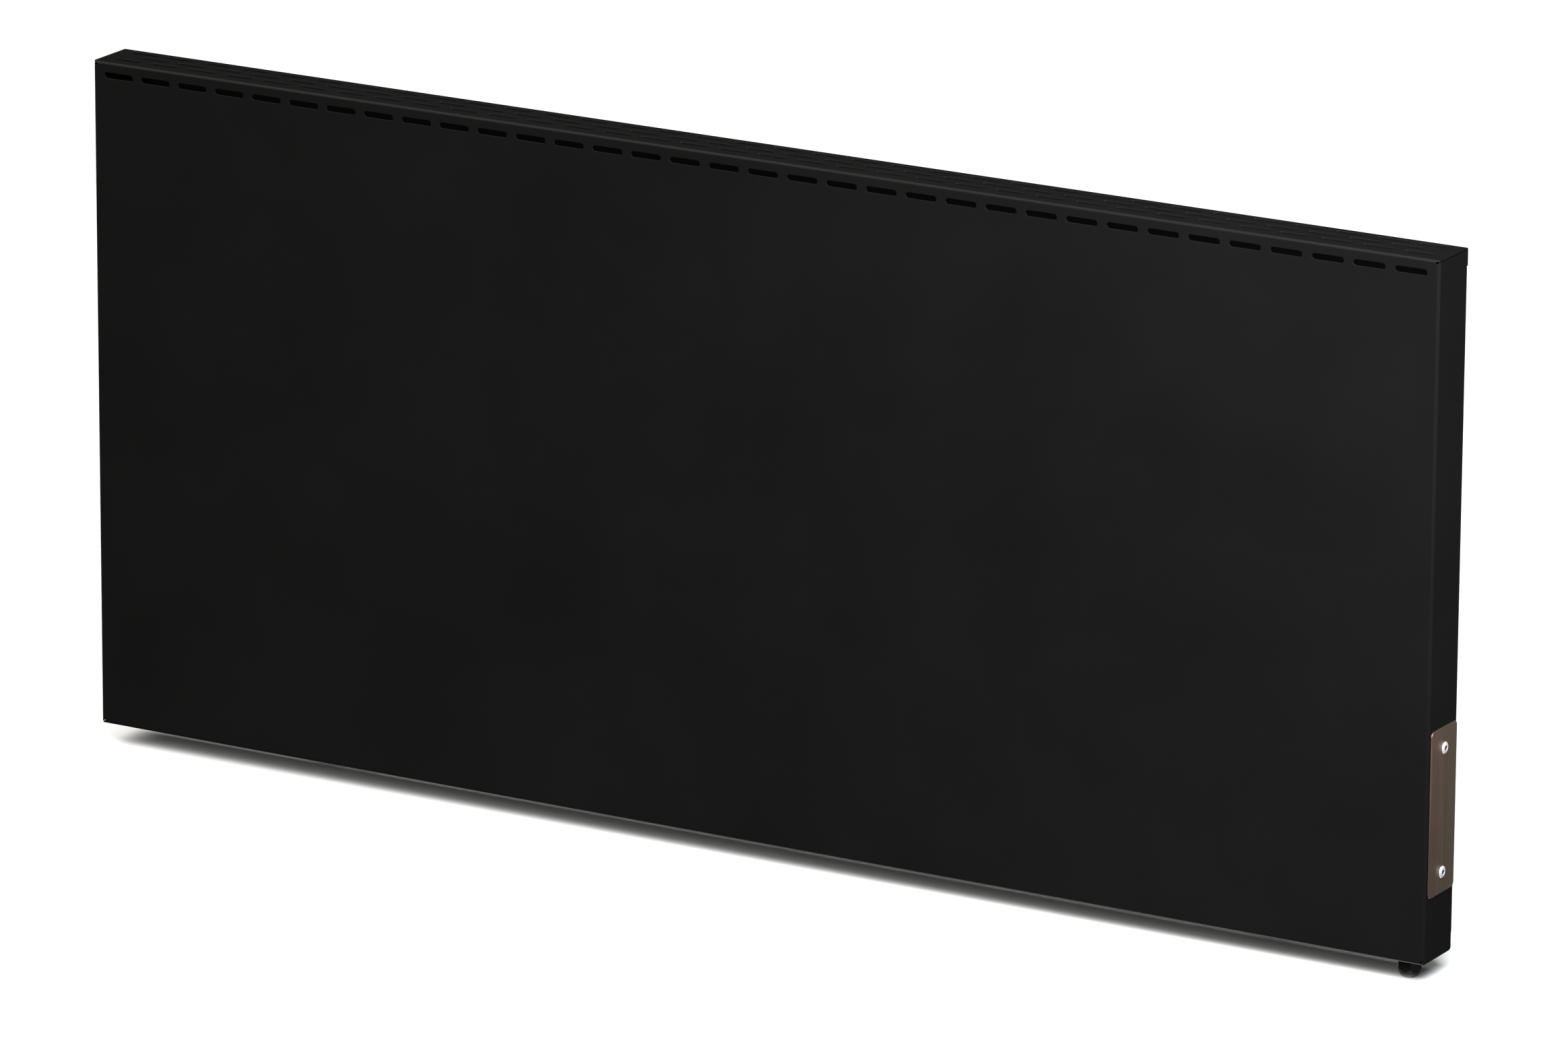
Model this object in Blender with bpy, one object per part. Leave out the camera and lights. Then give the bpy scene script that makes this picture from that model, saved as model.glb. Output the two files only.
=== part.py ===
"""Slim wall-hung electric panel heater: a folded sheet-steel casing with air slots, a rear cover,
a two-part ceramic heating stack inside, a cable gland below and a wall rail that it lifts off.

Metres, +Z up. The front faces -Y, +X is the right-hand end, and the wall is the plane y = 0.
The origin is the centre of the wall rail's back face."""

import math

import bmesh
import bpy
from mathutils import Matrix, Vector

MM = 0.001

# ---- driving dimensions -------------------------------------------------------------------
WIDTH = 1000 * MM
HEIGHT = 460 * MM
DEPTH = 40 * MM          # front face to the rear cover's back
STANDOFF = 18 * MM       # rear cover's back to the wall
RAIL_TO_TOP = 75 * MM    # rail centre to the casing's top
SHEET = 1.2 * MM
BEND = 2.0 * MM          # outer radius of the folds round the front face
GAP = 0.3 * MM           # clearance between pieces that rest on each other

SLOT_COUNT = 34
SLOT_PITCH = 29.1 * MM
SLOT_LENGTH = 22.5 * MM
SLOT_WIDTH = 4.0 * MM
FRONT_SLOT_DROP = 9.0 * MM                       # top edge to the centre of the front row
TOP_ROWS = (11.5 * MM, 21.5 * MM, 31.5 * MM)     # front face to each row in the top
INLET_ROWS = (14.0 * MM, 26.0 * MM)              # front face to each row in the bottom

LIP = 12 * MM            # return lips that the rear cover screws to
COVER = 0.7 * MM
COVER_INSET = 3 * MM

PLATE_WIDTH, PLATE_HEIGHT, PLATE = 35 * MM, 110 * MM, 0.8 * MM
PLATE_RISE = 43.5 * MM   # casing bottom to the nameplate's lower edge
RIVET_INSET = 14 * MM

GLAND_X = WIDTH / 2 - 20 * MM
GLAND_DROP = 15 * MM     # how far the gland stands below the casing

RAIL_LENGTH = 600 * MM
RAIL_SHEET = 1.5 * MM
HANGER_X = 220 * MM
HANGER_WIDTH = 60 * MM

Y_BACK = -STANDOFF
Y_FRONT = Y_BACK - DEPTH
Z_TOP = RAIL_TO_TOP
Z_BOTTOM = Z_TOP - HEIGHT
X_END = WIDTH / 2
Y_LIP_BACK = Y_BACK - COVER - GAP      # rear face of the casing's return lips
Y_INSIDE = Y_FRONT + SHEET             # inner face of the front sheet
GLAND_Y = Y_FRONT + DEPTH / 2

# ---- colours, roughness and metallic value of each finish --------------------------------
FINISHES = {
    "black_powder_coat": ((0.0135, 0.0135, 0.0138), 0.42, 0.0),
    "zinc_plated_steel": ((0.56, 0.57, 0.58), 0.38, 1.0),
    "brushed_nameplate": ((0.40, 0.33, 0.28), 0.36, 1.0),
    "rivet_aluminium": ((0.86, 0.86, 0.87), 0.22, 1.0),
    "black_nylon": ((0.011, 0.012, 0.012), 0.5, 0.0),
    "black_rubber": ((0.02, 0.02, 0.02), 0.8, 0.0),
    "mill_aluminium": ((0.77, 0.78, 0.79), 0.3, 1.0),
    "grey_ceramic": ((0.45, 0.43, 0.40), 0.75, 0.0),
    "white_ceramic": ((0.82, 0.80, 0.76), 0.35, 0.0),
    "mineral_wool": ((0.72, 0.68, 0.55), 0.95, 0.0),
    "brass": ((0.72, 0.52, 0.22), 0.3, 1.0),
    "phenolic": ((0.05, 0.035, 0.03), 0.45, 0.0),
    "lead_brown": ((0.16, 0.06, 0.025), 0.5, 0.0),
    "lead_blue": ((0.02, 0.09, 0.35), 0.5, 0.0),
    "lead_green": ((0.10, 0.32, 0.05), 0.5, 0.0),
}

for old in list(bpy.data.objects):
    bpy.data.objects.remove(old, do_unlink=True)


# ---- helpers ------------------------------------------------------------------------------
def empty(name, location=(0, 0, 0)):
    made = bpy.data.objects.new(name, None)
    made.empty_display_size = 0.05
    made.location = location
    bpy.context.scene.collection.objects.link(made)
    return made


WALL = empty("wall")
HEATER = empty("heater")       # its origin is on the lift-off axis


def finish_material(obj, finish):
    colour, roughness, metallic = FINISHES[finish]
    made = bpy.data.materials.new(obj.name + "_" + finish)
    made.use_nodes = True
    shader = made.node_tree.nodes["Principled BSDF"]
    shader.inputs["Base Color"].default_value = (*colour, 1)
    shader.inputs["Roughness"].default_value = roughness
    shader.inputs["Metallic"].default_value = metallic
    obj.data.materials.clear()
    obj.data.materials.append(made)


def place(obj, parent, finish, location=(0, 0, 0)):
    obj.location = location
    obj.parent = parent
    if finish:
        finish_material(obj, finish)
    return obj


def mesh_object(name, bm, smooth_angle=None):
    bmesh.ops.recalc_face_normals(bm, faces=bm.faces)
    mesh = bpy.data.meshes.new(name)
    bm.to_mesh(mesh)
    bm.free()
    if smooth_angle:
        mesh.shade_smooth()
        mesh.set_sharp_from_angle(angle=math.radians(smooth_angle))
    obj = bpy.data.objects.new(name, mesh)
    bpy.context.scene.collection.objects.link(obj)
    return obj


def add_box(bm, low, high):
    low, high = Vector(low), Vector(high)
    made = bmesh.ops.create_cube(bm, size=1)["verts"]
    for v in made:
        v.co = Vector(((v.co.x + 0.5) * (high.x - low.x) + low.x,
                       (v.co.y + 0.5) * (high.y - low.y) + low.y,
                       (v.co.z + 0.5) * (high.z - low.z) + low.z))
    return made


def box_object(name, low, high):
    bm = bmesh.new()
    add_box(bm, low, high)
    return mesh_object(name, bm)


def add_prism(bm, outline, origin, u, v, depth):
    """A closed prism: the 2-D outline in the plane of u and v at origin, carried along depth."""
    origin, u, v, depth = Vector(origin), Vector(u), Vector(v), Vector(depth)
    near = [bm.verts.new(origin + u * a + v * b) for a, b in outline]
    far = [bm.verts.new(p.co + depth) for p in near]
    bm.faces.new(near)
    bm.faces.new(list(reversed(far)))
    for i in range(len(near)):
        j = (i + 1) % len(near)
        bm.faces.new((near[i], far[i], far[j], near[j]))


def obround(length, width, steps):
    """Outline of a slot with round ends, its long side along the first axis."""
    r, reach = width / 2, (length - width) / 2
    points = []
    for side in (1, -1):
        for i in range(steps + 1):
            a = math.radians(-90 + 180 * i / steps)
            points.append((side * (reach + r * math.cos(a)), side * r * math.sin(a)))
    return points


def polygon(radius, sides, turn=0.0):
    return [(radius * math.cos(turn + 2 * math.pi * i / sides),
             radius * math.sin(turn + 2 * math.pi * i / sides)) for i in range(sides)]


def rounded_rectangle(width, height, radius, steps):
    points = []
    for cx, cy, start in ((1, 1, 0), (-1, 1, 90), (-1, -1, 180), (1, -1, 270)):
        for i in range(steps + 1):
            a = math.radians(start + 90 * i / steps)
            points.append((cx * (width / 2 - radius) + radius * math.cos(a),
                           cy * (height / 2 - radius) + radius * math.sin(a)))
    return points


def turned(name, profile, segments=16, axis="Z", smooth=30):
    """A solid of revolution. profile is a closed loop of (radius, height); points at radius 0 are poles."""
    bm = bmesh.new()
    rings = []
    for r, h in profile:
        if r == 0:
            rings.append([bm.verts.new((0, 0, h))])
        else:
            rings.append([bm.verts.new((r * math.cos(2 * math.pi * i / segments),
                                        r * math.sin(2 * math.pi * i / segments), h))
                          for i in range(segments)])
    closed_ring = all(r > 0 for r, _ in profile)
    pairs = list(zip(rings, rings[1:])) + ([(rings[-1], rings[0])] if closed_ring else [])
    for a, b in pairs:
        for i in range(segments):
            j = (i + 1) % segments
            if len(a) == 1 and len(b) == 1:
                continue
            if len(a) == 1:
                bm.faces.new((a[0], b[i], b[j]))
            elif len(b) == 1:
                bm.faces.new((a[i], b[0], a[j]))
            else:
                bm.faces.new((a[i], b[i], b[j], a[j]))
    turn = {"Z": Matrix.Identity(4),
            "Y": Matrix.Rotation(math.radians(90), 4, "X"),    # height runs towards -Y
            "X": Matrix.Rotation(math.radians(90), 4, "Y")}[axis]
    bm.transform(turn)
    return mesh_object(name, bm, smooth)


def cut(obj, cutter, operation="DIFFERENCE", name="cut"):
    if operation == "DIFFERENCE":
        cutter.hide_render = True
        cutter.display_type = "WIRE"
    modifier = obj.modifiers.new(name, "BOOLEAN")
    modifier.operation = operation
    modifier.object = cutter
    modifier.solver = "EXACT"
    return modifier


def join_shape(obj, other):
    """other's volume becomes part of obj, and other stays as a guide."""
    other.hide_render = True
    other.display_type = "WIRE"
    cut(obj, other, "UNION", "join")


def wire(name, points, radius, finish, parent=HEATER):
    """A round insulated lead along a smooth curve through the route's points."""
    route = [Vector(p) * MM for p in points]
    ends = [route[0] * 2 - route[1], *route, route[-1] * 2 - route[-2]]
    smooth = []
    for k in range(1, len(ends) - 2):
        a, b, c, d = ends[k - 1:k + 3]
        for i in range(4):
            t = i / 4
            smooth.append(0.5 * ((2 * b) + (c - a) * t + (2 * a - 5 * b + 4 * c - d) * t * t
                                 + (3 * b - a - 3 * c + d) * t ** 3))
    smooth.append(route[-1])
    curve = bpy.data.curves.new(name, "CURVE")
    curve.dimensions = "3D"
    curve.bevel_depth = radius
    curve.bevel_resolution = 1
    curve.use_fill_caps = True
    spline = curve.splines.new("POLY")
    spline.points.add(len(smooth) - 1)
    for point, co in zip(spline.points, smooth):
        point.co = (*co, 1)
    obj = bpy.data.objects.new(name, curve)
    bpy.context.scene.collection.objects.link(obj)
    obj.parent = parent
    finish_material(obj, finish)
    return obj


# ---- front casing: one folded tray ---------------------------------------------------------
def tray(name, low, high, radius, segments):
    """A box whose four edges round the front (-Y) face are rounded by the bend radius."""
    bm = bmesh.new()
    add_box(bm, low, high)
    front = [e for e in bm.edges if all(abs(v.co.y - low[1]) < 1e-6 for v in e.verts)]
    bmesh.ops.bevel(bm, geom=front, offset=radius, segments=segments, profile=0.5, affect="EDGES")
    return mesh_object(name, bm, 20)


casing = tray("front_casing", (-X_END, Y_FRONT, Z_BOTTOM), (X_END, Y_LIP_BACK, Z_TOP), BEND, 3)
hollow = tray("casing_hollow",
              (-X_END + SHEET, Y_FRONT + SHEET, Z_BOTTOM + SHEET),
              (X_END - SHEET, Y_LIP_BACK - SHEET, Z_TOP - SHEET), BEND - SHEET, 2)
cut(casing, hollow, name="hollow")
rear_opening = box_object("casing_rear_opening",
                          (-X_END + LIP, Y_LIP_BACK - 3 * SHEET, Z_BOTTOM + LIP),
                          (X_END - LIP, Y_LIP_BACK + SHEET, Z_TOP - LIP))
cut(casing, rear_opening, name="rear_opening")

# Open seams where two flanges meet, along the depth and across the return lips.
SEAM = 0.5 * MM
bm = bmesh.new()
for side in (-1, 1):
    x_out, x_in = side * (X_END + MM), side * (X_END - SHEET - 0.05 * MM)
    lo_x, hi_x = min(x_out, x_in), max(x_out, x_in)
    for z_flange, up in ((Z_TOP - SHEET, -1), (Z_BOTTOM + SHEET, 1)):
        z_a, z_b = z_flange, z_flange + up * SEAM
        add_box(bm, (lo_x, Y_FRONT + BEND + 0.4 * MM, min(z_a, z_b)),
                (hi_x, Y_LIP_BACK + MM, max(z_a, z_b)))
        # the side lip stops short of the upper or lower lip
        lip_in = side * (X_END - LIP - MM)
        lip_out = side * (X_END - SHEET + 0.05 * MM)
        add_box(bm, (min(lip_in, lip_out), Y_LIP_BACK - SHEET - 0.2 * MM,
                     min(z_flange + up * (LIP - SHEET), z_flange + up * (LIP - SHEET + SEAM))),
                (max(lip_in, lip_out), Y_LIP_BACK + MM,
                 max(z_flange + up * (LIP - SHEET), z_flange + up * (LIP - SHEET + SEAM))))
seams = mesh_object("casing_seams", bm)
cut(casing, seams, name="seams")

# The lower flange stops just inside each end, so the side flange stands proud of it.
bm = bmesh.new()
for side in (-1, 1):
    a, b = side * (X_END + MM), side * (X_END - 0.9 * MM)
    add_box(bm, (min(a, b), Y_FRONT + BEND + 0.4 * MM, Z_BOTTOM - MM),
            (max(a, b), Y_LIP_BACK + MM, Z_BOTTOM + SHEET + SEAM / 2))
cut(casing, mesh_object("casing_lower_ends", bm), name="lower_ends")

# Small round reliefs where three folds meet.
bm = bmesh.new()
for sx in (-1, 1):
    for z, sz in ((Z_TOP, 1), (Z_BOTTOM, -1)):
        axis = Vector((sx, -1, sz)).normalized()
        rotation = axis.to_track_quat("Z", "Y").to_matrix().to_4x4()
        centre = Vector((sx * (X_END - 1.5 * MM), Y_FRONT + 1.5 * MM, z - sz * 1.5 * MM))
        bmesh.ops.create_cone(bm, cap_ends=True, segments=10, radius1=0.9 * MM, radius2=0.9 * MM,
                              depth=7 * MM, matrix=Matrix.Translation(centre) @ rotation)
cut(casing, mesh_object("corner_reliefs", bm), name="reliefs")

# Air slots: one row in the front, three staggered rows in the top, two staggered rows in the bottom.
FRONT_SLOT = obround(SLOT_LENGTH, SLOT_WIDTH, 3)
SLOT = obround(SLOT_LENGTH, SLOT_WIDTH, 2)
EARTH_X, EARTH_Y = 395 * MM, -28 * MM
bm = bmesh.new()
for i in range(SLOT_COUNT):
    x = (i - (SLOT_COUNT - 1) / 2) * SLOT_PITCH
    add_prism(bm, FRONT_SLOT, (x, Y_FRONT - 2 * MM, Z_TOP - FRONT_SLOT_DROP), (1, 0, 0), (0, 0, 1),
              (0, 2 * MM + 2 * SHEET, 0))
for row, drop in enumerate(TOP_ROWS):
    stagger = row % 2
    for i in range(SLOT_COUNT - stagger):
        x = (i + 0.5 * stagger - (SLOT_COUNT - 1) / 2) * SLOT_PITCH
        add_prism(bm, SLOT, (x, Y_FRONT + drop, Z_TOP - 2 * SHEET), (1, 0, 0), (0, 1, 0),
                  (0, 0, 2 * MM + 2 * SHEET))
for row, drop in enumerate(INLET_ROWS):
    stagger = row % 2
    for i in range(2, SLOT_COUNT - 2 - stagger):
        x = (i + 0.5 * stagger - (SLOT_COUNT - 1) / 2) * SLOT_PITCH
        if abs(x - EARTH_X) < 22 * MM and abs(Y_FRONT + drop - EARTH_Y) < 8 * MM:
            continue
        add_prism(bm, SLOT, (x, Y_FRONT + drop, Z_BOTTOM - 2 * MM), (1, 0, 0), (0, 1, 0),
                  (0, 0, 2 * MM + 2 * SHEET))
slots = mesh_object("air_slots", bm)
cut(casing, slots, name="air_slots")

# Round holes: the gland, the nameplate's rivets and the cover screws.
SCREW_SPOTS = ([(x * MM, Z_TOP - 6.5 * MM) for x in (-320, 0, 320)]
               + [(x * MM, Z_BOTTOM + 6.5 * MM) for x in (-320, 0, 320)]
               + [(s * (X_END - 6.5 * MM), (Z_TOP + Z_BOTTOM) / 2) for s in (-1, 1)])
PLATE_Z = Z_BOTTOM + PLATE_RISE + PLATE_HEIGHT / 2
RIVET_Z = [PLATE_Z + s * (PLATE_HEIGHT / 2 - RIVET_INSET) for s in (1, -1)]
PLATE_Y = Y_FRONT + 19.5 * MM
bm = bmesh.new()
add_prism(bm, polygon(6.6 * MM, 20), (GLAND_X, GLAND_Y, Z_BOTTOM - MM), (1, 0, 0), (0, 1, 0), (0, 0, 3.5 * MM))
for z in RIVET_Z:
    add_prism(bm, polygon(2.35 * MM, 12), (X_END - 3 * MM, PLATE_Y, z), (0, 1, 0), (0, 0, 1), (5 * MM, 0, 0))
for x, z in SCREW_SPOTS:
    add_prism(bm, polygon(1.8 * MM, 10), (x, Y_LIP_BACK - 3 * MM, z), (1, 0, 0), (0, 0, 1), (0, 5 * MM, 0))
cut(casing, mesh_object("casing_holes", bm), name="holes")
place(casing, HEATER, "black_powder_coat")

# ---- rear cover: flat sheet with three pressed ribs ---------------------------------------
RIB_X = (-250 * MM, 0.0, 250 * MM)
RIB_HALF, RIB_SLOPE, RIB_RISE = 12 * MM, 3 * MM, 2.5 * MM
RIB_Z = (-325 * MM, -25 * MM)
cols = [-X_END + COVER_INSET]
for x in RIB_X:
    cols += [x - RIB_HALF, x - RIB_HALF + RIB_SLOPE, x + RIB_HALF - RIB_SLOPE, x + RIB_HALF]
cols.append(X_END - COVER_INSET)
rows = [Z_BOTTOM + COVER_INSET, RIB_Z[0], RIB_Z[0] + RIB_SLOPE, RIB_Z[1] - RIB_SLOPE, RIB_Z[1], Z_TOP - COVER_INSET]
bm = bmesh.new()
grid = []
for z in rows:
    line = []
    for x in cols:
        raised = any(abs(x - c) < RIB_HALF - RIB_SLOPE / 2 for c in RIB_X) and RIB_Z[0] < z < RIB_Z[1]
        line.append(bm.verts.new((x, RIB_RISE if raised else 0.0, z)))
    grid.append(line)
for a, b in zip(grid, grid[1:]):
    for i in range(len(cols) - 1):
        bm.faces.new((a[i], a[i + 1], b[i + 1], b[i]))
bmesh.ops.recalc_face_normals(bm, faces=bm.faces)
bm.normal_update()
if bm.faces[0].normal.y > 0:
    bmesh.ops.reverse_faces(bm, faces=bm.faces)
mesh = bpy.data.meshes.new("rear_cover")
bm.to_mesh(mesh)
bm.free()
cover = bpy.data.objects.new("rear_cover", mesh)
bpy.context.scene.collection.objects.link(cover)
thick = cover.modifiers.new("sheet", "SOLIDIFY")
thick.thickness = COVER
thick.offset = 1.0          # the sheet's thickness goes towards the front
thick.use_even_offset = True
HANGER_RIVETS = [(s * HANGER_X + d * 18 * MM, 5 * MM) for s in (-1, 1) for d in (-1, 1)]
BUFFERS = [(s * 360 * MM, -345 * MM) for s in (-1, 1)]
bm = bmesh.new()
for x, z in SCREW_SPOTS:
    add_prism(bm, polygon(2.2 * MM, 10), (x, -3 * MM, z), (1, 0, 0), (0, 0, 1), (0, 6 * MM, 0))
for x, z in HANGER_RIVETS + BUFFERS:
    add_prism(bm, polygon(2.4 * MM, 10), (x, -3 * MM, z), (1, 0, 0), (0, 0, 1), (0, 6 * MM, 0))
cover_holes = mesh_object("cover_holes", bm)
cover_holes.location = (0, Y_BACK, 0)
cut(cover, cover_holes, name="holes")
place(cover, HEATER, "black_powder_coat", (0, Y_BACK, 0))


# ---- pan-head screws, each with a cross recess ---------------------------------------------
def screw(name, head_radius, head_height, shank_radius, shank_length):
    """Its seat is at the origin; the head rises towards +Y and the shank runs towards -Y."""
    made = turned(name, [(0, shank_length + 1.2 * MM), (shank_radius * 0.35, shank_length + 0.8 * MM),
                         (shank_radius, shank_length - 1 * MM), (shank_radius, 0), (head_radius, 0),
                         (head_radius, -head_height * 0.45), (head_radius * 0.72, -head_height * 0.9),
                         (0, -head_height)], 12, "Y")
    return made


def cross_recess(name, width, arm, depth, at):
    bm = bmesh.new()
    add_box(bm, (-arm, -depth, -width), (arm, depth, width))
    add_box(bm, (-width, -depth, -arm), (width, depth, arm))
    bmesh.ops.remove_doubles(bm, verts=bm.verts, dist=1e-9)
    obj = mesh_object(name, bm)
    obj.location = at
    return obj


for n, (x, z) in enumerate(SCREW_SPOTS, 1):
    made = screw(f"cover_screw_{n}", 3.7 * MM, 2.3 * MM, 1.45 * MM, 8 * MM)
    bm = bmesh.new()
    arm, half = 1.9 * MM, 0.45 * MM
    add_prism(bm, [(arm, -half), (arm, half), (half, half), (half, arm), (-half, arm), (-half, half),
                   (-arm, half), (-arm, -half), (-half, -half), (-half, -arm), (half, -arm), (half, -half)],
              (0, 1.0 * MM, 0), (1, 0, 0), (0, 0, 1), (0, 3 * MM, 0))
    recess = mesh_object(f"cover_screw_{n}_recess", bm)
    recess.parent = made
    cut(made, recess, name="recess")
    place(made, HEATER, "zinc_plated_steel", (x, Y_BACK + GAP, z))

# ---- hangers: Z-shaped hooks on the rear cover --------------------------------------------
HOOK_SHEET = 1.5 * MM
SHELF_Z = 35 * MM                       # underside of the hanger's shelf, just above the rail's lip
HOOK_REACH = 12.2 * MM                  # how far the shelf runs towards the wall
HOOK_DROP = 12.5 * MM
hanger_outline = [(0, -40 * MM), (HOOK_SHEET, -40 * MM), (HOOK_SHEET, 0), (HOOK_REACH - HOOK_SHEET, 0),
                  (HOOK_REACH - HOOK_SHEET, -HOOK_DROP + HOOK_SHEET), (HOOK_REACH, -HOOK_DROP + HOOK_SHEET),
                  (HOOK_REACH, HOOK_SHEET), (0, HOOK_SHEET)]
for side, word in ((-1, "left"), (1, "right")):
    bm = bmesh.new()
    add_prism(bm, hanger_outline, (-HANGER_WIDTH / 2, 0, 0), (0, 1, 0), (0, 0, 1), (HANGER_WIDTH, 0, 0))
    hanger = mesh_object("hanger_" + word, bm)
    bm = bmesh.new()
    for d in (-1, 1):
        add_prism(bm, polygon(2.4 * MM, 10), (d * 18 * MM, -2 * MM, 5 * MM - SHELF_Z), (1, 0, 0), (0, 0, 1), (0, 6 * MM, 0))
    holes = mesh_object(f"hanger_{word}_holes", bm)
    holes.parent = hanger
    cut(hanger, holes, name="holes")
    place(hanger, HEATER, "black_powder_coat", (side * HANGER_X, Y_BACK + GAP, SHELF_Z))

for n, (x, z) in enumerate(HANGER_RIVETS, 1):
    seat = GAP + HOOK_SHEET + GAP           # head's underside, from the cover's back face
    rivet = turned(f"hanger_rivet_{n}",
                   [(0, -1.2 * MM), (2.4 * MM, -0.9 * MM), (4.0 * MM, 0), (2.0 * MM, 0),
                    (2.0 * MM, seat + COVER + GAP), (3.0 * MM, seat + COVER + GAP),
                    (2.6 * MM, seat + COVER + 2.2 * MM), (0, seat + COVER + 2.6 * MM)], 12, "Y")
    place(rivet, HEATER, "rivet_aluminium", (x, Y_BACK + seat, z))

# ---- rubber buffers that hold the lower edge off the wall ----------------------------------
for (x, z), word in zip(BUFFERS, ("left", "right")):
    length = STANDOFF - GAP
    buffer = turned("wall_buffer_" + word,
                    [(10 * MM, 0), (10 * MM, -2 * MM), (8 * MM, -length + 1 * MM), (7 * MM, -length),
                     (5 * MM, -length), (5 * MM, -length + 8 * MM), (2.4 * MM, -length + 8 * MM), (2.4 * MM, 0)],
                    16, "Y")
    place(buffer, HEATER, "black_rubber", (x, Y_BACK + GAP, z))
    seat = length - 8 * MM + GAP
    made = screw("buffer_screw_" + word, 4.0 * MM, 2.4 * MM, 1.9 * MM, seat + COVER + 7 * MM)
    place(made, HEATER, "zinc_plated_steel", (x, Y_BACK + GAP + seat, z))

# ---- nameplate and its two blind rivets ----------------------------------------------------
bm = bmesh.new()
add_prism(bm, rounded_rectangle(PLATE_WIDTH, PLATE_HEIGHT, 3.5 * MM, 5), (0, 0, 0), (0, 1, 0), (0, 0, 1), (PLATE, 0, 0))
nameplate = mesh_object("nameplate", bm)
bm = bmesh.new()
for z in RIVET_Z:
    add_prism(bm, polygon(2.35 * MM, 12), (-2 * MM, 0, z - PLATE_Z), (0, 1, 0), (0, 0, 1), (5 * MM, 0, 0))
plate_holes = mesh_object("nameplate_holes", bm)
plate_holes.parent = nameplate
cut(nameplate, plate_holes, name="holes")
place(nameplate, HEATER, "brushed_nameplate", (X_END + GAP, PLATE_Y, PLATE_Z))

for z, word in zip(RIVET_Z, ("upper", "lower")):
    grip = GAP + PLATE + SHEET + GAP       # seat of the head to the start of the swollen tail
    rivet = turned("nameplate_rivet_" + word,
                   [(0, -4.0 * MM), (1.15 * MM, -4.0 * MM), (1.2 * MM, 0.75 * MM), (1.75 * MM, 1.15 * MM),
                    (3.2 * MM, 0.9 * MM), (4.0 * MM, 0.35 * MM), (4.0 * MM, 0), (2.0 * MM, 0),
                    (2.0 * MM, -grip - GAP), (2.9 * MM, -grip - 1.2 * MM), (2.6 * MM, -grip - 3.4 * MM),
                    (0, -grip - 3.8 * MM)], 20, "X")
    place(rivet, HEATER, "rivet_aluminium", (X_END + GAP + PLATE + GAP, PLATE_Y, z))

# ---- cable gland in the bottom, with no cable ----------------------------------------------
HEX = 7.5 * MM / math.cos(math.pi / 6)


def hexagon(name, across_flats, low, high, turn=0.0):
    bm = bmesh.new()
    add_prism(bm, polygon(across_flats / 2 / math.cos(math.pi / 6), 6, turn), (0, 0, low), (1, 0, 0), (0, 1, 0), (0, 0, high - low))
    return mesh_object(name, bm)


# body: hexagonal collar below the sheet, threaded barrels above and below it
gland_body = hexagon("gland_body", 15 * MM, -4.3 * MM, -GAP)
barrel = turned("gland_body_barrel", [(6.2 * MM, 9 * MM), (6.2 * MM, -4.0 * MM), (5.4 * MM, -4.0 * MM), (5.4 * MM, -8.5 * MM),
                                      (3.9 * MM, -8.5 * MM), (3.9 * MM, 9 * MM)], 20)
barrel.parent = gland_body
bm = bmesh.new()
add_prism(bm, polygon(3.9 * MM, 20), (0, 0, -12 * MM), (1, 0, 0), (0, 1, 0), (0, 0, 24 * MM))
bore = mesh_object("gland_body_bore", bm)
bore.parent = gland_body
join_shape(gland_body, barrel)
cut(gland_body, bore, name="bore")
place(gland_body, HEATER, "black_nylon", (GLAND_X, GLAND_Y, Z_BOTTOM))

locknut = hexagon("gland_locknut", 17 * MM, SHEET + GAP, SHEET + GAP + 3 * MM)
bm = bmesh.new()
add_prism(bm, polygon(6.5 * MM, 20), (0, 0, 0), (1, 0, 0), (0, 1, 0), (0, 0, 8 * MM))
thread = mesh_object("gland_locknut_bore", bm)
thread.parent = locknut
cut(locknut, thread, name="bore")
place(locknut, HEATER, "black_nylon", (GLAND_X, GLAND_Y, Z_BOTTOM))

seal = turned("gland_seal", [(4.9 * MM, -8.8 * MM), (4.9 * MM, -11.6 * MM), (4.2 * MM, -12.6 * MM), (3.5 * MM, -12.6 * MM),
                             (3.5 * MM, -8.8 * MM)], 20)
place(seal, HEATER, "black_rubber", (GLAND_X, GLAND_Y, Z_BOTTOM))

# dome nut: a hexagon whose lower end is turned to a cone
dome = hexagon("gland_dome_nut", 15 * MM, -GLAND_DROP, -4.3 * MM - GAP)
cone = turned("gland_dome_cone", [(0, 0), (12 * MM, 0), (12 * MM, -8.2 * MM), (7.9 * MM, -8.8 * MM), (7.1 * MM, -11.2 * MM), (6.2 * MM, -13.4 * MM),
                                  (4.6 * MM, -GLAND_DROP), (0, -GLAND_DROP)], 24)
cone.parent = dome
cut(dome, cone, "INTERSECT", "turned_end")
cone.hide_render = True
cone.display_type = "WIRE"
seat = turned("gland_dome_seat", [(0, -2 * MM), (5.7 * MM, -2 * MM), (5.7 * MM, -8.7 * MM), (5.2 * MM, -9.0 * MM), (5.2 * MM, -11.7 * MM),
                                  (4.4 * MM, -12.9 * MM), (3.5 * MM, -12.9 * MM), (3.5 * MM, -18 * MM), (0, -18 * MM)], 20)
seat.parent = dome
cut(dome, seat, name="seat")
place(dome, HEATER, "black_nylon", (GLAND_X, GLAND_Y, Z_BOTTOM))

# ---- heating stack, from the front sheet backwards -----------------------------------------
STACK_X = (25 * MM, 455 * MM)          # heated width of each half
STACK_Z = (-335 * MM, 25 * MM)
POSTS = {"left": [(-50 * MM, -250 * MM), (-50 * MM, -295 * MM)], "right": [(50 * MM, -250 * MM), (50 * MM, -295 * MM)]}


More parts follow.
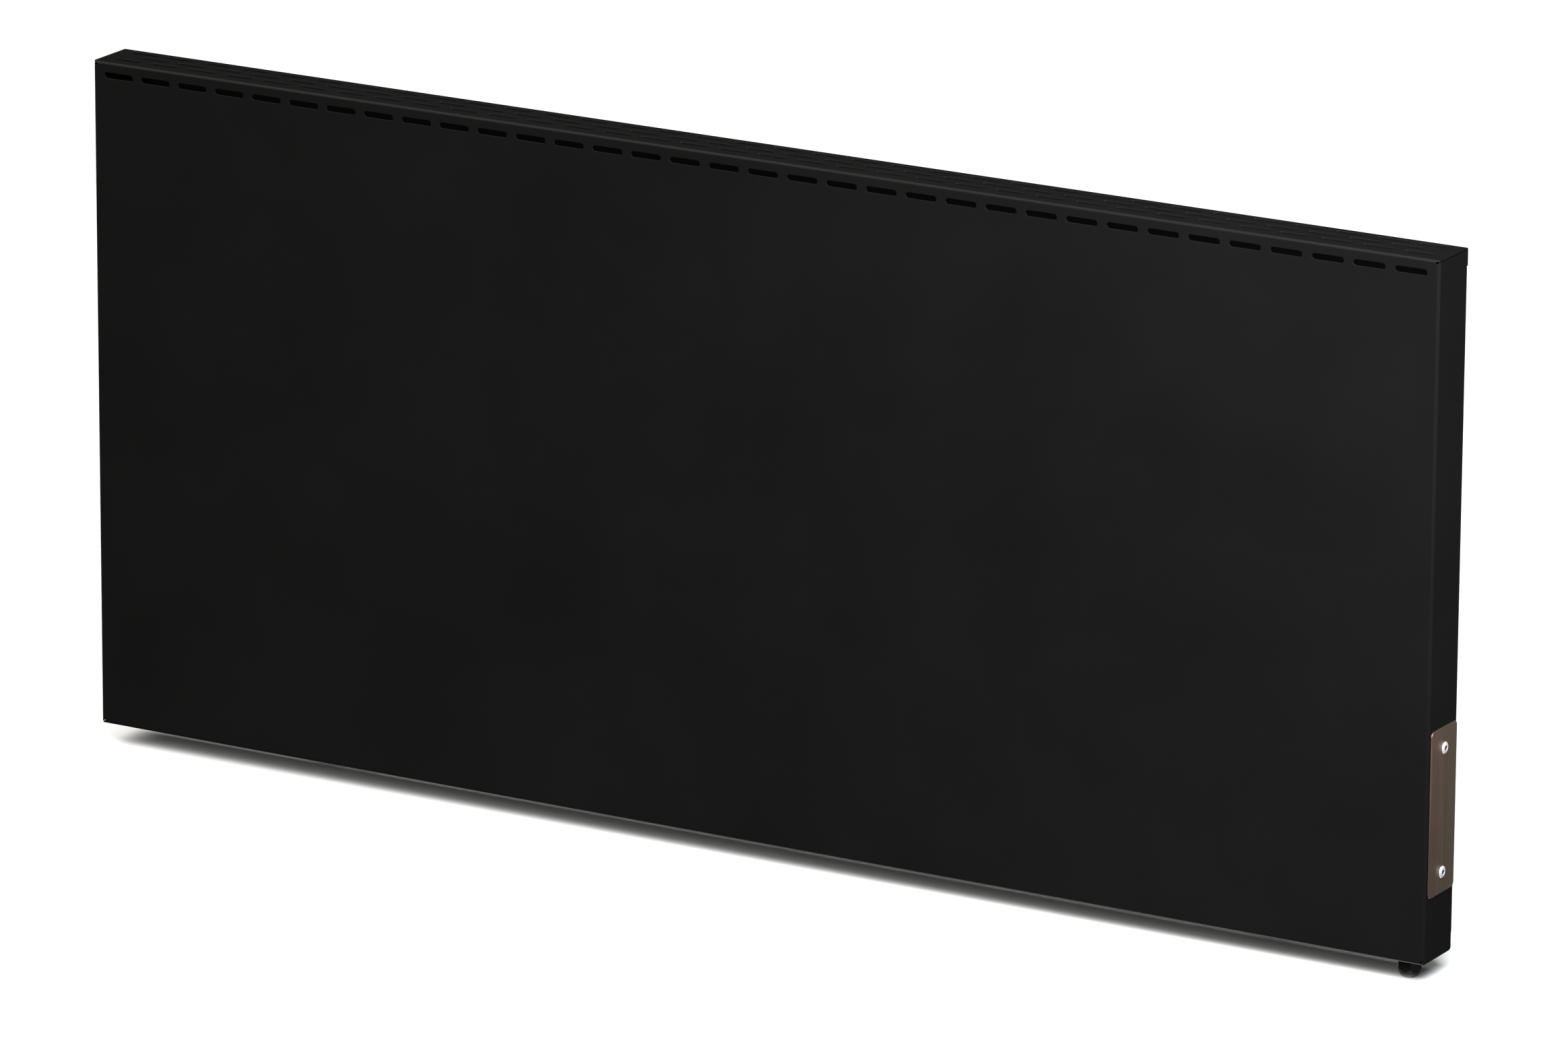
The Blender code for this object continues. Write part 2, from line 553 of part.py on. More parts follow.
def slab(name, x_range, z_range, y_low, y_high, radius, holes=(), hole_radius=0.0):
    bm = bmesh.new()
    cx, cz = sum(x_range) / 2, sum(z_range) / 2
    add_prism(bm, rounded_rectangle(abs(x_range[1] - x_range[0]), abs(z_range[1] - z_range[0]), radius, 3),
              (0, 0, 0), (1, 0, 0), (0, 0, 1), (0, y_high - y_low, 0))
    obj = mesh_object(name, bm)
    if holes:
        bm = bmesh.new()
        for x, z in holes:
            add_prism(bm, polygon(hole_radius, 12), (x - cx, -MM, z - cz), (1, 0, 0), (0, 0, 1), (0, y_high - y_low + 2 * MM, 0))
        cutter = mesh_object(name + "_holes", bm)
        cutter.parent = obj
        cut(obj, cutter, name="holes")
    obj.location = (cx, y_low, cz)
    return obj


Y_SPREADER = Y_INSIDE + 0.4 * MM
Y_ELEMENT = Y_SPREADER + 1.0 * MM + 0.4 * MM
Y_MAT = Y_ELEMENT + 4.0 * MM + 0.4 * MM
Y_REFLECTOR = Y_MAT + 10.0 * MM + 0.4 * MM
for side, word in ((-1, "left"), (1, "right")):
    x_range = sorted((side * STACK_X[0], side * STACK_X[1]))
    wide = (x_range[0] - 12 * MM, x_range[1] + 12 * MM)
    tall = (STACK_Z[0] - 13 * MM, STACK_Z[1] + 13 * MM)
    for obj, finish in (
        (slab("heat_spreader_" + word, wide, tall, Y_SPREADER, Y_SPREADER + 1.0 * MM, 6 * MM), "mill_aluminium"),
        (slab("heating_element_" + word, x_range, STACK_Z, Y_ELEMENT, Y_ELEMENT + 4.0 * MM, 8 * MM), "grey_ceramic"),
        (slab("insulation_mat_" + word, (x_range[0] - 5 * MM, x_range[1] + 5 * MM), (STACK_Z[0] - 5 * MM, STACK_Z[1] + 5 * MM),
              Y_MAT, Y_MAT + 10.0 * MM, 8 * MM, POSTS[word], 4.5 * MM), "mineral_wool"),
    ):
        location = obj.location.copy()
        place(obj, HEATER, finish, location)
    for n, (x, z) in enumerate(POSTS[word], 1):
        post = turned(f"element_post_{word}_{n}",
                      [(0, 0), (3.4 * MM, 0), (3.4 * MM, -2 * MM), (2.0 * MM, -2.4 * MM), (2.0 * MM, -14.5 * MM), (3.2 * MM, -14.5 * MM),
                       (3.2 * MM, -17.5 * MM), (0, -17.5 * MM)], 12, "Y")
        place(post, HEATER, "brass", (x, Y_MAT, z))
reflector = slab("reflector_sheet", (-475 * MM, 475 * MM), (-352 * MM, 42 * MM), Y_REFLECTOR, Y_REFLECTOR + 0.6 * MM, 4 * MM,
                 POSTS["left"] + POSTS["right"], 5.5 * MM)
place(reflector, HEATER, "mill_aluminium", reflector.location.copy())

# Z-section rails that clamp the stack's upper and lower edges against the front sheet
RAIL_T = 1.2 * MM
Y_FOOT = Y_INSIDE + GAP
Y_CLAMP = Y_REFLECTOR + 0.6 * MM + GAP
for word, z_web, up in (("upper", 45 * MM, 1), ("lower", -355 * MM, -1)):
    outline = [(0, 0), (Y_CLAMP - Y_FOOT, 0), (Y_CLAMP - Y_FOOT, -15 * MM), (Y_CLAMP - Y_FOOT + RAIL_T, -15 * MM),
               (Y_CLAMP - Y_FOOT + RAIL_T, RAIL_T), (RAIL_T, RAIL_T), (RAIL_T, 13 * MM), (0, 13 * MM)]
    bm = bmesh.new()
    add_prism(bm, [(a, up * b) for a, b in outline], (-465 * MM, 0, 0), (0, 1, 0), (0, 0, 1), (930 * MM, 0, 0))
    place(mesh_object("element_rail_" + word, bm), HEATER, "zinc_plated_steel", (0, Y_FOOT, z_web))

# ---- thermal cut-out on its bracket --------------------------------------------------------
Y_BRACKET = Y_CLAMP + RAIL_T + GAP
CUTOUT_X, CUTOUT_Z = 250 * MM, 20 * MM
bm = bmesh.new()
add_prism(bm, rounded_rectangle(34 * MM, 44 * MM, 3 * MM, 2), (0, 0, 0), (1, 0, 0), (0, 0, 1), (0, 1.0 * MM, 0))
place(mesh_object("cutout_bracket", bm), HEATER, "zinc_plated_steel", (CUTOUT_X, Y_BRACKET, CUTOUT_Z + 4 * MM))
cutout = turned("thermal_cutout", [(0, 0), (8 * MM, 0), (8 * MM, -4 * MM), (6.6 * MM, -4.4 * MM), (6.6 * MM, -9 * MM), (0, -9 * MM)], 20, "Y")
for d in (-1, 1):
    tab = box_object(f"cutout_tab_{d + 2}", (d * 3.5 * MM - 2.4 * MM, 5.6 * MM, 2 * MM), (d * 3.5 * MM + 2.4 * MM, 6.6 * MM, 16 * MM))
    tab.parent = cutout
    join_shape(cutout, tab)
place(cutout, HEATER, "phenolic", (CUTOUT_X, Y_BRACKET + 1.0 * MM + GAP, CUTOUT_Z))

# ---- terminal block ------------------------------------------------------------------------
TB_X, TB_Z = 440 * MM, -335 * MM
bm = bmesh.new()
add_prism(bm, rounded_rectangle(56 * MM, 40 * MM, 3 * MM, 2), (0, 0, 0), (1, 0, 0), (0, 0, 1), (0, 1.0 * MM, 0))
place(mesh_object("terminal_bracket", bm), HEATER, "zinc_plated_steel", (TB_X - 2 * MM, Y_BRACKET, TB_Z - 4 * MM))
block = box_object("terminal_block", (-22 * MM, 0, -10 * MM), (22 * MM, 13 * MM, 10 * MM))
edge = block.modifiers.new("edge", "BEVEL")
edge.width = 1.2 * MM
edge.segments = 1
TERMINAL_X = (-14 * MM, 0.0, 14 * MM)
bm = bmesh.new()
for x in TERMINAL_X:
    add_prism(bm, polygon(2.4 * MM, 10), (x, 6.0 * MM, 4 * MM), (1, 0, 0), (0, 1, 0), (0, 0, 10 * MM))
    add_prism(bm, polygon(2.4 * MM, 10), (x, 6.0 * MM, -14 * MM), (1, 0, 0), (0, 1, 0), (0, 0, 10 * MM))
    add_prism(bm, polygon(2.9 * MM, 12), (x, 8.6 * MM, 0), (1, 0, 0), (0, 0, 1), (0, 8 * MM, 0))
wells = mesh_object("terminal_wells", bm)
wells.parent = block
cut(block, wells, name="wells")
place(block, HEATER, "white_ceramic", (TB_X, Y_BRACKET + 1.0 * MM + GAP, TB_Z))
Y_BLOCK = Y_BRACKET + 1.0 * MM + GAP
for n, x in enumerate(TERMINAL_X, 1):
    made = turned(f"terminal_screw_{n}", [(0, 0), (2.5 * MM, 0), (2.5 * MM, -2.6 * MM), (2.1 * MM, -3.0 * MM), (0, -3.0 * MM)], 12, "Y")
    slit = box_object(f"terminal_screw_{n}_slit", (-3 * MM, 2.2 * MM, -0.35 * MM), (3 * MM, 4 * MM, 0.35 * MM))
    slit.parent = made
    cut(made, slit, name="slit")
    place(made, HEATER, "brass", (TB_X + x, Y_BLOCK + 8.9 * MM, TB_Z))

# ---- earth stud ----------------------------------------------------------------------------
stud = turned("earth_stud", [(0, 0), (3.5 * MM, 0), (3.5 * MM, 1.0 * MM), (2.0 * MM, 1.0 * MM), (2.0 * MM, 13 * MM), (1.6 * MM, 13.5 * MM), (0, 13.5 * MM)], 12)
place(stud, HEATER, "zinc_plated_steel", (EARTH_X, EARTH_Y, Z_BOTTOM + SHEET + GAP))
washer = turned("earth_washer", [(2.3 * MM, 0), (4.5 * MM, 0), (4.5 * MM, 0.8 * MM), (2.3 * MM, 0.8 * MM)], 16)
place(washer, HEATER, "zinc_plated_steel", (EARTH_X, EARTH_Y, Z_BOTTOM + SHEET + 4 * MM))
nut = hexagon("earth_nut", 7 * MM, 0, 3.2 * MM)
bm = bmesh.new()
add_prism(bm, polygon(2.3 * MM, 12), (0, 0, -MM), (1, 0, 0), (0, 1, 0), (0, 0, 6 * MM))
nut_bore = mesh_object("earth_nut_bore", bm)
nut_bore.parent = nut
cut(nut, nut_bore, name="bore")
place(nut, HEATER, "brass", (EARTH_X, EARTH_Y, Z_BOTTOM + SHEET + 5.1 * MM))
lug = turned("earth_lug", [(2.3 * MM, 0), (4.2 * MM, 0), (4.2 * MM, 0.8 * MM), (2.3 * MM, 0.8 * MM)], 16)
place(lug, HEATER, "brass", (EARTH_X, EARTH_Y, Z_BOTTOM + SHEET + 2.6 * MM))

# ---- internal leads ------------------------------------------------------------------------
LEAD = 1.2 * MM
y_tb = (Y_BLOCK + 6.0 * MM) / MM
y_tab = (Y_BRACKET + 1.0 * MM + GAP + 6.1 * MM) / MM
y_post = (Y_MAT + 16 * MM) / MM
tb_top, tb_low = (TB_Z + 5 * MM) / MM, (TB_Z - 5 * MM) / MM
wire("lead_live", [(454, y_tb, tb_top), (454, y_tb, -315), (456, -26, -290), (450, -25, -180), (420, -25, -60), (345, -26, 25),
                   (275, y_tab, 43), (254.5, y_tab, 43), (253.5, y_tab, 37.5)], LEAD, "lead_brown")
wire("lead_switched", [(246.5, y_tab, 37.5), (245.5, y_tab, 43), (228, -27, 42), (150, -25, 8), (30, -25, -100), (-20, -26, -200), (-36, y_post, -236),
                       (-44.5, y_post, -245.3)], LEAD, "lead_brown")
wire("lead_link", [(-45.5, y_post, -296.5), (-30, y_post, -304), (-10, -29, -310), (10, -29, -310), (30, y_post, -304), (45.5, y_post, -296.5)], LEAD, "lead_brown")
wire("lead_neutral", [(55, y_post, -251), (90, y_post, -256), (200, -27, -290), (340, -26, -300), (425, -26, -300), (440, y_tb, -315), (440, y_tb, tb_top)],
     LEAD, "lead_blue")
wire("lead_earth", [(426, y_tb, tb_top), (426, y_tb, -318), (410, -26, -308), (398, -25, -325), (396, -23.5, -350), (396, -22.4, -370),
                    (396, -22.2, -380)], LEAD, "lead_green")

# ---- wall rail -----------------------------------------------------------------------------
LIP_Y = -9.5 * MM
LIP_TOP = SHELF_Z - GAP
rail_outline = [(0, -20 * MM), (0, 20 * MM), (LIP_Y, 20 * MM), (LIP_Y, LIP_TOP), (LIP_Y - RAIL_SHEET, LIP_TOP),
                (LIP_Y - RAIL_SHEET, 20 * MM - RAIL_SHEET), (-RAIL_SHEET, 20 * MM - RAIL_SHEET), (-RAIL_SHEET, -20 * MM)]
bm = bmesh.new()
add_prism(bm, rail_outline, (-RAIL_LENGTH / 2, 0, 0), (0, 1, 0), (0, 0, 1), (RAIL_LENGTH, 0, 0))
rail = mesh_object("wall_rail", bm)
bm = bmesh.new()
for x in (-260 * MM, -90 * MM, 90 * MM, 260 * MM):
    add_prism(bm, obround(14 * MM, 6.5 * MM, 4), (x, -3 * MM, -2 * MM), (1, 0, 0), (0, 0, 1), (0, 6 * MM, 0))
rail_slots = mesh_object("wall_rail_slots", bm)
cut(rail, rail_slots, name="slots")
place(rail, WALL, "zinc_plated_steel")
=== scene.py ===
"""Looks for the wall-hung electric panel heater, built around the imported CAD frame.

Metres, +Z up. The front faces -Y, +X is the right-hand end and the wall is the plane y = 0."""

import math

import bmesh
import bpy
from mathutils import Matrix, Vector
from mathutils.geometry import delaunay_2d_cdt


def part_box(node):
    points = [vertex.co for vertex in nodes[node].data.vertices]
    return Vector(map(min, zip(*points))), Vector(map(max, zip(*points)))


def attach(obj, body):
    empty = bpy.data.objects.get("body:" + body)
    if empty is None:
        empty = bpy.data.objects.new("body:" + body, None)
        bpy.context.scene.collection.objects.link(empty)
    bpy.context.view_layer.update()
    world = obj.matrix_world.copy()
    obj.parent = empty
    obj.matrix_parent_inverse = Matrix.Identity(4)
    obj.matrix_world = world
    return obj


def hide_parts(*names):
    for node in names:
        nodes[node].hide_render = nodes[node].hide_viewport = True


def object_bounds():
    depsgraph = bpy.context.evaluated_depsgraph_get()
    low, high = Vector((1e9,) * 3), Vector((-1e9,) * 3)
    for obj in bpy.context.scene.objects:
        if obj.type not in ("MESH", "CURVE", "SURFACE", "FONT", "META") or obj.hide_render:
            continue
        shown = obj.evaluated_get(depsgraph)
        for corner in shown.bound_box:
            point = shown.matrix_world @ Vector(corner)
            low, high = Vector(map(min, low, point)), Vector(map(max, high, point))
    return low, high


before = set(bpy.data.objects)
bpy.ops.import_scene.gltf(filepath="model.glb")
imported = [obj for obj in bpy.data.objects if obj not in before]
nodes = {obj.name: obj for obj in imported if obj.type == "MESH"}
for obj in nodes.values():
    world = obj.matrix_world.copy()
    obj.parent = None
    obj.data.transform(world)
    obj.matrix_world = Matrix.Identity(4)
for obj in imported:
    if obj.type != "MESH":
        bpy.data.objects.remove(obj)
cad_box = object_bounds()

MM = 0.001
PI = math.pi

# ---- places read from the CAD frame ---------------------------------------------------------
low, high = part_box("front_casing")
X_END, Y_FRONT, Z_BOTTOM, Z_TOP = high.x, low.y, low.z, high.z
Y_LIP_BACK = high.y
Y_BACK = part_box("rear_cover")[0].y + 0.7 * MM      # rear cover's flat back face
SHEET, BEND, LIP_BEND = 1.2 * MM, 2.0 * MM, 1.6 * MM
LIP = 12 * MM
EDGE = 0.22 * MM                                   # rounding that the coating leaves on a cut edge

SLOT_COUNT, SLOT_PITCH = 34, 29.1 * MM
SLOT_LENGTH, SLOT_WIDTH = 22.5 * MM, 4.0 * MM
FRONT_SLOT_DROP = 9.0 * MM
TOP_ROWS = (11.5 * MM, 21.5 * MM, 31.5 * MM)
INLET_ROWS = (14.0 * MM, 26.0 * MM)
EARTH_X, EARTH_Y = 395 * MM, -28 * MM


# ---- node helpers for the procedural finishes -------------------------------------------------
class Finish:
    """A small builder for one procedural material."""

    def __init__(self, name):
        self.material = bpy.data.materials.new(name)
        self.material.use_nodes = True
        self.tree = self.material.node_tree
        self.shader = self.tree.nodes["Principled BSDF"]
        self.where = self.tree.nodes.new("ShaderNodeTexCoord").outputs["Object"]
        self.heights = []

    def link(self, a, b):
        self.tree.links.new(a, b)

    def stretched(self, scale, turn=(0, 0, 0)):
        node = self.tree.nodes.new("ShaderNodeMapping")
        node.inputs["Scale"].default_value = scale
        node.inputs["Rotation"].default_value = turn
        self.link(self.where, node.inputs["Vector"])
        return node.outputs["Vector"]

    def noise(self, scale, detail=3.0, roughness=0.5, vector=None, distortion=0.0):
        node = self.tree.nodes.new("ShaderNodeTexNoise")
        node.inputs["Scale"].default_value = scale
        node.inputs["Detail"].default_value = detail
        node.inputs["Roughness"].default_value = roughness
        node.inputs["Distortion"].default_value = distortion
        self.link(vector if vector is not None else self.where, node.inputs["Vector"])
        return node.outputs["Fac"]

    def cells(self, scale, feature="F1", output="Distance", vector=None, randomness=1.0):
        node = self.tree.nodes.new("ShaderNodeTexVoronoi")
        node.feature = feature
        node.inputs["Scale"].default_value = scale
        node.inputs["Randomness"].default_value = randomness
        self.link(vector if vector is not None else self.where, node.inputs["Vector"])
        return node.outputs[output]

    def ramp(self, value, stops, interpolation="LINEAR"):
        node = self.tree.nodes.new("ShaderNodeValToRGB")
        node.color_ramp.interpolation = interpolation
        elements = node.color_ramp.elements
        while len(elements) < len(stops):
            elements.new(0.5)
        for element, (at, colour) in zip(elements, stops):
            element.position = at
            element.color = (*colour, 1) if len(colour) == 3 else colour
        self.link(value, node.inputs["Fac"])
        return node.outputs["Color"]

    def range(self, value, low, high, from_low=0.0, from_high=1.0):
        node = self.tree.nodes.new("ShaderNodeMapRange")
        node.inputs["From Min"].default_value = from_low
        node.inputs["From Max"].default_value = from_high
        node.inputs["To Min"].default_value = low
        node.inputs["To Max"].default_value = high
        self.link(value, node.inputs["Value"])
        return node.outputs["Result"]

    def math(self, operation, a, b):
        node = self.tree.nodes.new("ShaderNodeMath")
        node.operation = operation
        for socket, value in zip(node.inputs, (a, b)):
            if isinstance(value, (int, float)):
                socket.default_value = value
            else:
                self.link(value, socket)
        return node.outputs[0]

    def mix(self, factor, a, b, blend="MIX"):
        node = self.tree.nodes.new("ShaderNodeMix")
        node.data_type = "RGBA"
        node.blend_type = blend
        for socket, value in ((node.inputs[0], factor), (node.inputs[6], a), (node.inputs[7], b)):
            if isinstance(value, (int, float)):
                socket.default_value = value
            elif isinstance(value, (tuple, list)):
                socket.default_value = (*value, 1)
            else:
                self.link(value, socket)
        return node.outputs[2]

    def colour(self, value):
        self.link(value, self.shader.inputs["Base Color"])

    def rough(self, value):
        self.link(value, self.shader.inputs["Roughness"])

    def bump(self, *layers):
        """layers of (height, depth in metres, strength), laid over one another."""
        normal = None
        for height, depth, strength in layers:
            node = self.tree.nodes.new("ShaderNodeBump")
            node.inputs["Distance"].default_value = depth
            node.inputs["Strength"].default_value = strength
            self.link(height, node.inputs["Height"])
            if normal is not None:
                self.link(normal, node.inputs["Normal"])
            normal = node.outputs["Normal"]
        self.link(normal, self.shader.inputs["Normal"])

    def set(self, **values):
        for name, value in values.items():
            self.shader.inputs[name.replace("_", " ")].default_value = value
        return self


def powder_coat():
    """Satin black polyester powder: a fine orange peel, a slightly cloudy gloss and a few dust-fine nibs."""
    f = Finish("black_powder_coat").set(Metallic=0.0, IOR=1.5)
    f.shader.inputs["Specular IOR Level"].default_value = 0.14
    cloud = f.noise(9, 4, 0.55)
    grain = f.noise(1500, 2, 0.6)
    base = f.mix(f.range(cloud, 0, 1, 0.3, 0.7), (0.0029, 0.0029, 0.0028), (0.0037, 0.0036, 0.0035))
    base = f.mix(f.range(grain, 0, 0.55, 0.35, 0.75), base, (0.0056, 0.0056, 0.0056))
    nibs = f.cells(260, output="Distance")
    base = f.mix(f.range(nibs, 0.5, 0, 0.0, 0.07), base, (0.015, 0.015, 0.0152))
    f.colour(base)
    f.rough(f.math("ADD", f.range(cloud, 0.50, 0.57, 0.3, 0.7), f.range(grain, -0.03, 0.04)))
    peel = f.noise(520, 2, 0.5)
    f.bump((peel, 0.00009, 0.16), (grain, 0.00003, 0.14))
    return f.material


def zinc(name="zinc_plated_steel", tint=(0.38, 0.39, 0.40), spangle=160, rough=(0.42, 0.54)):
    """Bright zinc plating: soft grey crystals, a directionless haze and light handling marks."""
    f = Finish(name).set(Metallic=1.0)
    crystals = f.cells(spangle, output="Color")
    shade = f.noise(35, 4, 0.6)
    dull = tuple(c * 0.80 for c in tint)
    lit = tuple(min(1, c * 1.12) for c in tint)
    base = f.mix(f.range(crystals, 0.1, 0.55), tint, lit)
    base = f.mix(f.range(shade, 0, 0.75, 0.35, 0.75), base, dull)
    scratch = f.noise(1, 2, 0.5, vector=f.stretched((40, 900, 900)))
    base = f.mix(f.range(scratch, 0, 0.5, 0.62, 0.8), base, lit)
    f.colour(base)
    f.rough(f.math("ADD", f.range(shade, rough[0], rough[1], 0.3, 0.7), f.range(scratch, -0.04, 0.05)))
    f.bump((f.noise(900, 2, 0.5), 0.00003, 0.15), (scratch, 0.00003, 0.10))
    return f.material


def brushed_plate():
    """Warm grey metal, brushed along its length: fine lines over broad streaks. Painted light lies over it: a painted
    highlight and painted reflection make it lighter and rosier towards the upper front edge, and painted shade makes
    its lower part darker.
    """
    f = Finish("brushed_nameplate").set(Metallic=1.0)
    fine = f.noise(1, 3, 0.7, vector=f.stretched((400, 5200, 55)))
    broad = f.noise(1, 3, 0.6, vector=f.stretched((60, 620, 9)))
    cloud = f.noise(28, 3, 0.5)
    split = f.tree.nodes.new("ShaderNodeSeparateXYZ")
    f.link(f.where, split.inputs[0])
    # across runs from the plate's front edge to its back; the rosy tint it sets at the front is painted reflection
    across = f.range(f.math("ADD", split.outputs["Y"], f.range(cloud, -0.008, 0.008, 0.3, 0.7)), 0, 1, -0.054, -0.026)
    base = f.ramp(broad, [(0.25, (0.38, 0.286, 0.230)), (0.52, (0.43, 0.332, 0.270)), (0.8, (0.49, 0.390, 0.325))])
    base = f.mix(f.range(fine, 0, 0.55, 0.35, 0.75), base, (0.32, 0.244, 0.197))
    # painted light: lighter towards the plate's top with a painted highlight, darker lower down with painted shade; low
    # holds the painted shade tints and high the painted highlight tints
    painted_highlight_height = f.range(f.math("ADD", split.outputs["Z"], f.range(cloud, -0.012, 0.012, 0.3, 0.7)), 0, 1, -0.315, -0.237)
    low = f.ramp(across, [(0.0, (0.74, 0.70, 0.69)), (0.35, (0.78, 0.78, 0.76)), (1.0, (0.77, 0.80, 0.77))])
    high = f.ramp(across, [(0.0, (1.0, 0.83, 0.83)), (0.35, (0.97, 0.91, 0.89)), (1.0, (0.83, 0.87, 0.85))])
    f.colour(f.mix(1.0, base, f.mix(painted_highlight_height, low, high), "MULTIPLY"))
    f.rough(f.math("ADD", f.range(broad, 0.40, 0.50), f.range(fine, -0.06, 0.08)))
    f.bump((fine, 0.00004, 0.35), (broad, 0.00004, 0.12))
    return f.material


def rivet_metal():
    """Tumbled aluminium: bright and milky, with a faint mottle and tiny dents."""
    f = Finish("rivet_aluminium").set(Metallic=0.62)
    fine = f.noise(1800, 3, 0.6)
    shade = f.noise(240, 2, 0.5)
    base = f.mix(f.range(shade, 0, 0.7, 0.35, 0.7), (0.96, 0.96, 0.97), (0.88, 0.88, 0.90))
    f.colour(f.mix(f.range(fine, 0, 0.3, 0.5, 0.8), base, (0.78, 0.78, 0.80)))
    f.rough(f.range(fine, 0.40, 0.52))
    f.bump((shade, 0.00004, 0.18), (fine, 0.00002, 0.12))
    return f.material


def mandrel_steel_painted_shade():
    """The broken-off steel pin in a blind rivet, torn and rough; its near-black colour is painted shade that stands for
    the dark of the rivet's hole.
    """
    f = Finish("mandrel_steel_painted_shade").set(Metallic=1.0)
    torn = f.noise(1500, 4, 0.7)
    f.colour(f.mix(f.range(torn, 0, 1, 0.35, 0.7), (0.020, 0.020, 0.021), (0.060, 0.058, 0.056)))
    f.rough(f.range(torn, 0.55, 0.8))
    f.bump((torn, 0.0001, 0.6))
    return f.material


def moulded(name, dark, light, rough, peel=700, specular=0.45):
    """Moulded polymer or rubber: a fine spark-eroded grain and slightly uneven gloss."""
    f = Finish(name)
    f.shader.inputs["Specular IOR Level"].default_value = specular
    grain = f.noise(peel * 2.2, 3, 0.6)
    shade = f.noise(60, 3, 0.5)
    f.colour(f.mix(f.math("MULTIPLY", f.range(grain, 0, 1, 0.3, 0.7), f.range(shade, 0.3, 1, 0.3, 0.7)), dark, light))
    f.rough(f.math("ADD", f.range(shade, rough - 0.04, rough + 0.04), f.range(grain, -0.03, 0.03)))
    f.bump((grain, 0.00005, 0.25), (f.noise(peel, 2, 0.5), 0.00005, 0.12))
    return f.material


def mill_aluminium():
    """Rolled aluminium sheet: long rolling lines along X and a milky bloom."""
    f = Finish("mill_aluminium").set(Metallic=1.0)
    lines = f.noise(1, 3, 0.65, vector=f.stretched((18, 1400, 1400)))
    bloom = f.noise(14, 4, 0.6)
    base = f.mix(f.range(lines, 0, 0.7, 0.35, 0.7), (0.66, 0.67, 0.68), (0.50, 0.51, 0.52))
    f.colour(f.mix(f.range(bloom, 0, 0.5, 0.35, 0.75), base, (0.74, 0.75, 0.75)))
    f.rough(f.math("ADD", f.range(bloom, 0.34, 0.46), f.range(lines, -0.04, 0.06)))
    f.bump((lines, 0.00003, 0.2))
    return f.material


def ceramic(name, body, speck, rough, scale):
    """Fired ceramic with darker specks and a faint pitted skin."""
    f = Finish(name)
    pits = f.cells(scale, output="Distance")
    cloud = f.noise(40, 4, 0.6)
    base = f.mix(f.range(cloud, 0, 0.6, 0.3, 0.7), body, tuple(c * 0.86 for c in body))
    f.colour(f.mix(f.range(pits, 0.85, 0, 0.02, 0.2), base, speck))
    f.rough(f.range(cloud, rough - 0.05, rough + 0.05, 0.3, 0.7))
    f.bump((f.noise(scale * 1.3, 3, 0.6), 0.00012, 0.25))
    return f.material


def wool():
    """Mineral wool: matted fibres, straw over grey."""
    f = Finish("mineral_wool")
    f.shader.inputs["Specular IOR Level"].default_value = 0.1
    fibre_a = f.noise(1, 4, 0.7, vector=f.stretched((900, 900, 120), (0, 0.5, 0)), distortion=0.6)
    fibre_b = f.noise(1, 4, 0.7, vector=f.stretched((120, 900, 900), (0, 0.35, 0)), distortion=0.6)
    tuft = f.noise(60, 4, 0.6)
    base = f.mix(f.range(fibre_a, 0, 1, 0.35, 0.65), (0.52, 0.47, 0.33), (0.76, 0.72, 0.58))
    base = f.mix(f.range(fibre_b, 0, 0.7, 0.45, 0.7), base, (0.40, 0.37, 0.29))
    f.colour(f.mix(f.range(tuft, 0, 0.4, 0.35, 0.7), base, (0.60, 0.57, 0.47)))
    f.rough(f.range(tuft, 0.88, 0.98))
    f.bump((tuft, 0.0015, 0.5), (fibre_a, 0.0004, 0.6), (fibre_b, 0.0004, 0.5))
    return f.material


def brass():
    f = Finish("brass").set(Metallic=1.0)
    turned_rings = f.noise(1, 2, 0.5, vector=f.stretched((300, 2600, 300)))
    tarnish = f.noise(220, 4, 0.6)
    base = f.mix(f.range(tarnish, 0, 0.8, 0.4, 0.75), (0.78, 0.58, 0.26), (0.52, 0.36, 0.15))
    f.colour(f.mix(f.range(turned_rings, 0, 0.35, 0.5, 0.8), base, (0.86, 0.68, 0.36)))
    f.rough(f.range(tarnish, 0.24, 0.42))
    f.bump((turned_rings, 0.00003, 0.2))
    return f.material


def lead(name, body, stripe=None):
    """Insulated wire: an extruded skin with fine draw lines, and a second colour where it has one."""
    f = Finish(name)
    f.shader.inputs["Specular IOR Level"].default_value = 0.45
    skin = f.noise(700, 3, 0.6)
    base = f.mix(f.range(skin, 0, 0.6, 0.3, 0.7), body, tuple(c * 0.72 for c in body))
    if stripe:
        wave = f.tree.nodes.new("ShaderNodeTexWave")
        wave.wave_type = "BANDS"
        wave.bands_direction = "DIAGONAL"
        wave.inputs["Scale"].default_value = 42
        wave.inputs["Distortion"].default_value = 0.4
        f.link(f.where, wave.inputs["Vector"])
        base = f.mix(f.range(wave.outputs["Fac"], 0, 1, 0.44, 0.52), base, stripe)
    f.colour(base)
    f.rough(f.range(skin, 0.40, 0.54))
    f.bump((skin, 0.00004, 0.2))
    return f.material


